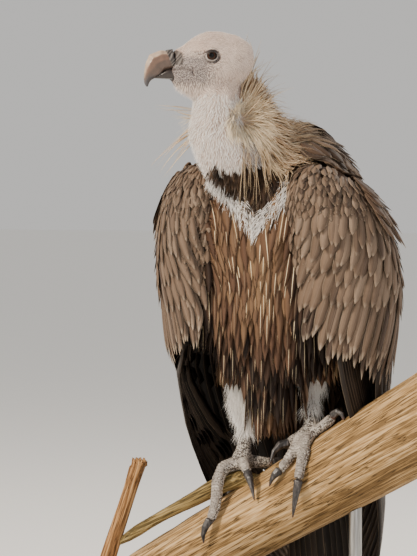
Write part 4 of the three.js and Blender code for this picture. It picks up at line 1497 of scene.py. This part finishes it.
def smooth_path(points, count):
    """A Catmull-Rom curve through points, at count places spaced evenly by step."""
    p = np.array(points, float)
    p = np.vstack([2 * p[0] - p[1], p, 2 * p[-1] - p[-2]])
    t = np.linspace(0, len(points) - 1 - 1e-6, count)
    k = t.astype(int)
    f = (t - k)[:, None]
    a, b, c, d = p[k], p[k + 1], p[k + 2], p[k + 3]
    return 0.5 * (2 * b + (c - a) * f + (2 * a - 5 * b + 4 * c - d) * f**2 + (3 * b - a - 3 * c + d) * f**3)


# how far ahead of its middle each row of a scute lies, and how far off the toe
SCUTE_ROWS = ((-2.0, -0.5), (-1.5, 0.55), (0.8, 0.8), (1.9, 0.5), (2.2, -0.7))


def scute(foot, centre, way, top):
    """Corners of one plate, five rows of nine, bowed over the toe from side to side."""
    corners = []
    side_way = np.cross(way, top)
    for ahead, lift in SCUTE_ROWS:
        for i in range(9):
            a = math.radians(-68 + 17 * i)
            out = top * math.cos(a) + side_way * math.sin(a)
            probe = centre + way * ahead * MM + out * 0.03
            hit = foot.tree.ray_cast(Vector(probe), Vector(-out), 0.04)
            base = np.array(hit[0]) if hit[0] is not None else centre + out * 0.008
            edge = 1 - 0.8 * (abs(i - 4) / 4) ** 4
            corners.append(base + out * lift * edge * MM)
    return corners


def make_scutes(material):
    """Horny plates across the top of each toe, each a bowed shield that overlaps the next."""
    perch, _ = gathered(["perch_log", "perch_shoot"])
    foot = Ground(skin.data)
    for side, toes in TOES.items():
        vertices, faces = [], []
        for path in toes.values():
            length = sum(np.linalg.norm(np.subtract(b, a)) for a, b in zip(path, path[1:]))
            count = int(length / 3.7)
            line = smooth_path(path, count * 2) * MM
            ways = unit(np.gradient(line, axis=0))
            for k in range(3, count * 2 - 1, 2):
                centre, way = line[k], ways[k]
                touch = np.array(perch.find_nearest(Vector(centre))[0])
                top = unit(across((centre - touch)[None, :], way[None, :]))[0]
                start = len(vertices)
                vertices.extend(scute(foot, centre, way, top))
                cells = [start + j * 9 + i for j in range(4) for i in range(8)]
                faces.extend((n, n + 1, n + 10, n + 9) for n in cells)
        mesh = bpy.data.meshes.new(f"toe_scutes_{side}")
        mesh.from_pydata(vertices, [], faces)
        smooth_shaded(mesh)
        scutes = placed(f"toe_scutes_{side}", mesh)
        apply_modifier(scutes, "SOLIDIFY", thickness=0.8 * MM, offset=-1.0)
        dress(scutes, material, "scale")


def claw_material():
    """Claw horn: nearly black, with pale scratches along it, and browner where the tip is thin."""
    material, tree, shader = start_material("claw_horn", Roughness=0.4, Coat_Weight=0.1)
    place = add(tree, "Mapping", {"Vector": add(tree, "TexCoord", out=3), "Scale": (1, 1, 0.35)})
    streaks = add(tree, "TexNoise", {"Vector": place, "Scale": 0.5 / (1.8 * MM), "Detail": 4.0})
    base = add(tree, "ValToRGB", [streaks], stops=[(0.3, "#191616"), (0.55, "#3a3635"), (0.75, "#6b6461")])
    tip = add(tree, "Attribute", out=2, attribute_name="tip")
    share = add(tree, "Math", [tip, 0.6], operation="MULTIPLY")
    base = add(tree, "Mix", {0: share, 6: base, 7: "#5d3326"}, 2, data_type="RGBA")
    bump = add(tree, "Bump", {"Height": streaks, "Distance": 0.5 * MM, "Strength": 0.5})
    plug(tree, shader, Base_Color=base, Normal=bump)
    return material


def make_claws(material):
    """Each foot's claws as one piece, with a mask for the last 7 mm of each tip."""
    for side, toes in TOES.items():
        names = [f"claw_{side}_{toe}" for toe in toes]
        claws = refined_copy(f"claws_{side}", names, 0.9, 5)
        mesh = claws.data
        points = vertices_of(mesh)
        tip = np.zeros(len(points))
        for name in names:
            low, high = [np.array(v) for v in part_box(name)]
            mine = ((points > low - 0.003) & (points < high + 0.003)).all(1)
            tip[mine] = np.maximum(tip[mine], ramp(points[mine, 2], low[2] + 0.007, low[2]))
        float_layer(mesh, "tip", tip)
        dress(claws, material, "claw", *names)


def scale_material():
    """Dry horn plates: pale grey, darker and browner where the fine relief sinks."""
    material, tree, shader = start_material("toe_scutes", Roughness=0.5, Specular_IOR_Level=0.4)
    place = add(tree, "TexCoord", out=3)
    fine = add(tree, "TexNoise", {"Vector": place, "Scale": 0.5 / (1.1 * MM), "Detail": 3.0})
    broad = add(tree, "TexNoise", {"Vector": place, "Scale": 0.5 / (6 * MM), "Detail": 2.0})
    share = add(tree, "Math", [broad, 0.5], operation="MULTIPLY")
    share = add(tree, "Math", [fine, 0.5, share], operation="MULTIPLY_ADD")
    base = add(tree, "ValToRGB", [share], stops=[(0.32, "#5a524c"), (0.5, "#9b9289"), (0.66, "#cbc3b8")])
    bump = add(tree, "Bump", {"Height": fine, "Distance": 0.4 * MM, "Strength": 0.6})
    plug(tree, shader, Base_Color=base, Normal=bump)
    return material


# ---------------------------------------------------------------- branch
LOG_SLOPE = math.radians(29.8)
LOG_WAY = np.array([math.cos(LOG_SLOPE), 0.0, math.sin(LOG_SLOPE)])
LOG_UP = np.array([-math.sin(LOG_SLOPE), 0.0, math.cos(LOG_SLOPE)])
SHOOT_WAY = unit(np.array([-0.9, -0.03, -0.42]))
STUB_WAY = unit(np.array([0.32, 0.0, 0.95]))


def wood_material(name, dark, middle, light, crack, scale=1.0):
    """Peeled, sun-dried wood: long fibres and dark drying cracks that wander along them."""
    material, tree, shader = start_material(name, Roughness=0.75, Specular_IOR_Level=0.25)
    fibre = add(tree, "Attribute", out=1, attribute_name="fibre")
    fine, middling, broad = (
        add(tree, "TexNoise", {"Vector": fibre, "Scale": 0.5 / (size * MM * scale), "Detail": detail})
        for size, detail in ((0.9, 4.0), (2.5, 3.0), (16.0, 2.0))
    )
    share = add(tree, "Math", [fine, 0.45], operation="MULTIPLY")
    share = add(tree, "Math", [middling, 0.4, share], operation="MULTIPLY_ADD")
    share = add(tree, "Math", [broad, 0.3, share], operation="MULTIPLY_ADD")
    base = add(tree, "ValToRGB", [share], stops=[(0.47, dark), (0.57, middle), (0.68, light)])
    # cracks run where the middling noise crosses one level
    away = add(tree, "Math", [middling, 0.47], operation="SUBTRACT")
    away = add(tree, "Math", [away], operation="ABSOLUTE")
    lines = add(tree, "ValToRGB", [away], stops=[(0.006, "#ffffff"), (0.03, "#000000")])
    share = add(tree, "Math", [fine, 1.5, 0.05], operation="MULTIPLY_ADD")
    share = add(tree, "Math", [lines, share], operation="MULTIPLY")
    base = add(tree, "Mix", {0: share, 6: base, 7: crack}, 2, data_type="RGBA")
    # sawn ends: growth rings about 3 mm apart
    pith = add(tree, "Attribute", out=2, attribute_name="pith")
    wander = add(tree, "Math", [broad, 6.0], operation="MULTIPLY")
    turns = add(tree, "Math", [pith, 2.1, wander], operation="MULTIPLY_ADD")
    rings = add(tree, "Math", [turns], operation="SINE")
    rings = add(tree, "Math", [rings, 0.12, 0.15], operation="MULTIPLY_ADD")
    rings = add(tree, "Math", [fine, 0.6, rings], operation="MULTIPLY_ADD")
    sawn = add(tree, "ValToRGB", [rings], stops=[(0.2, dark), (0.45, middle), (0.7, light)])
    end = add(tree, "Attribute", out=2, attribute_name="sawn")
    base = add(tree, "Mix", {0: end, 6: base, 7: sawn}, 2, data_type="RGBA")
    relief = add(tree, "Math", [lines, -0.7, fine], operation="MULTIPLY_ADD")
    bump = add(tree, "Bump", {"Height": relief, "Distance": 0.9 * MM, "Strength": 0.8})
    plug(tree, shader, Base_Color=base, Normal=bump)
    return material


def fibre_layer(mesh, way, stretch=0.04):
    """Object coordinates squeezed along the fibres, for patterns that run with the grain."""
    points = vertices_of(mesh)
    run = points @ way
    squeezed = points - run[:, None] * way + (run * stretch)[:, None] * way
    layer = mesh.attributes.new("fibre", "FLOAT_VECTOR", "POINT")
    layer.data.foreach_set("vector", squeezed.astype(np.float32).ravel())
    core = squeezed - squeezed.mean(0)
    pith = np.linalg.norm(core - (core @ way)[:, None] * way, axis=1)
    float_layer(mesh, "pith", pith / MM)
    float_layer(mesh, "sawn", ramp(np.abs(normals_of(mesh) @ way), 0.75, 0.9))


def make_log():
    """The cut log: grooves that wander along it and a knot, but flat sawn ends."""
    log = refined_copy("branch_log", ["perch_log"], 3.0, 4)
    mesh = log.data
    points = vertices_of(mesh)
    normals = normals_of(mesh)
    run = points @ LOG_WAY
    around = np.arctan2(points[:, 1], points @ LOG_UP - 0.26)
    groove = np.sin(around * 23 + 1.5 * np.sin(run * 22)) * 0.35
    groove = groove + np.sin(around * 11 + 2.2 * np.sin(run * 9 + 1)) * 0.4
    knot = hill((run - 0.10) / 0.03, (around + 1.1) / 0.3)
    wall = np.abs(normals @ LOG_WAY) < 0.6
    move_to(mesh, points + normals * ((groove - 0.6 + 0.5 * knot) * wall * MM)[:, None])
    fibre_layer(mesh, LOG_WAY)
    peeled = wood_material("peeled_log_wood", "#725734", "#aa8757", "#d0b083", "#33230f")
    dress(log, peeled, "bark", "perch_log")


def make_shoot():
    """The thinner side shoot, let into the log at its root."""
    shoot = refined_copy("branch_shoot", ["perch_shoot"], 1.8, 4)
    points = vertices_of(shoot.data)
    points[:, 2] -= 0.008 * ramp(points[:, 0], -0.05, -0.02)
    move_to(shoot.data, points)
    fibre_layer(shoot.data, SHOOT_WAY)
    bark = wood_material("olive_shoot_bark", "#564727", "#8a7446", "#b5a070", "#332812", 0.7)
    dress(shoot, bark, "bark", "perch_shoot")


def make_stub():
    """The broken stub, split at the top."""
    stub = refined_copy("branch_stub", ["perch_stub"], 1.8, 3)
    points = vertices_of(stub.data)
    top = ramp(points[:, 2], 0.288, 0.303)
    splinter = 0.006 * np.sin(points[:, 0] * 900 + 1) * np.sin(points[:, 1] * 700)
    splinter = splinter + 0.25 * (points[:, 0] + 0.204)
    points[:, 2] -= top * np.clip(0.006 - splinter, 0, 0.012)
    move_to(stub.data, points)
    fibre_layer(stub.data, STUB_WAY)
    split = wood_material("split_stub_wood", "#5c3f24", "#94693f", "#c69b6a", "#2c1c0f", 0.8)
    dress(stub, split, "bark", "perch_stub")


# ---------------------------------------------------------------- stand
def lacquer_material():
    """Painted wood of a museum stand: dark, satin and a little uneven, so that it stays behind the bird."""
    material, tree, shader = start_material("stand_lacquer", Roughness=0.42, Specular_IOR_Level=0.5)
    place = add(tree, "TexCoord", out=3)
    haze = add(tree, "TexNoise", {"Vector": place, "Scale": 0.5 / (12 * MM), "Detail": 3.0})
    base = add(tree, "ValToRGB", [haze], stops=[(0.35, "#26211d"), (0.65, "#332c26")])
    plug(tree, shader, Base_Color=base)
    return material


def steel_material():
    """Brushed steel rod: bare metal with fine lines along it."""
    material, tree, shader = start_material("brushed_steel_rod", Metallic=1.0, Roughness=0.35)
    place = add(tree, "Mapping", {"Vector": add(tree, "TexCoord", out=3), "Scale": (1, 1, 0.05)})
    lines = add(tree, "TexNoise", {"Vector": place, "Scale": 0.5 / (1 * MM), "Detail": 3.0})
    base = add(tree, "ValToRGB", [lines], stops=[(0.35, "#8b8a88"), (0.65, "#b5b4b1")])
    plug(tree, shader, Base_Color=base)
    return material


def make_stand():
    """The stand keeps its CAD solids, which only get their finishes."""
    steel = steel_material()
    finishes = {
        "stand_base": (lacquer_material(), "stand"),
        "stand_rod_1": (steel, "steel"),
        "stand_rod_2": (steel, "steel"),
    }
    for node, (material, slot) in finishes.items():
        NODES[node].data.materials.clear()
        NODES[node].data.materials.append(material)


paint_skin()
wet_eye = eye_material()
for eye_side in SIDES:
    make_eye(eye_side, wet_eye)
make_bill()
make_claws(claw_material())
make_scutes(scale_material())
make_log()
make_shoot()
make_stub()
make_stand()


# ---------------------------------------------------------------- stage
# the lamps: name, place, watts, size in metres and tint
LAMPS = (
    ("key", (-1.5, -2.6, 2.6), 175, 0.6, "#fff1de"),
    ("fill", (2.6, -2.2, 1.2), 16, 2.2, "#e9efff"),
    ("rim", (1.2, 2.4, 2.2), 50, 1.4, "#fff6ea"),
)
LAMP_AIM = Vector((-0.05, -0.03, 0.55))


def placed_facing(name, data, place, way):
    """A lamp or camera at a place, turned to look along a way."""
    thing = placed(name, data)
    thing.location = place
    thing.rotation_euler = way.to_track_quat("-Z", "Y").to_euler()
    return thing


def make_stage():
    """A pale matte floor, grey-white surroundings, and three lamps: warm key, weak cool fill and rim."""
    bpy.ops.object.select_all(action="DESELECT")
    bpy.ops.mesh.primitive_plane_add(size=60, location=(0, 0, 0))
    floor = bpy.context.object
    floor.name = "floor"
    material, _, shader = start_material("pale_floor", Roughness=0.9)
    shader.inputs["Base Color"].default_value = linear("#fbf9f5")
    floor.data.materials.append(material)
    world = bpy.data.worlds.new("studio")
    bpy.context.scene.world = world
    world.use_nodes = True
    background = world.node_tree.nodes["Background"]
    background.inputs["Color"].default_value = linear("#e4e2df")
    background.inputs["Strength"].default_value = 0.8
    for name, place, power, size, tint in LAMPS:
        data = bpy.data.lights.new(name, "AREA")
        data.energy = power
        data.size = size
        data.color = linear(tint)[:3]
        placed_facing(name, data, place, LAMP_AIM - Vector(place))


def make_camera():
    """A long lens at the bird's height, in front of it and a little to its left."""
    azimuth, elevation, away = math.radians(26), math.radians(2), 4.0
    target = Vector((-0.0863, -0.0421, 0.560))
    level = math.cos(elevation)
    back = Vector((math.sin(azimuth) * level, -math.cos(azimuth) * level, math.sin(elevation)))
    data = bpy.data.cameras.new("camera")
    data.lens = 186.3
    data.sensor_width = 36
    bpy.context.scene.camera = placed_facing("camera", data, target + back * away, -back)


make_stage()
make_camera()
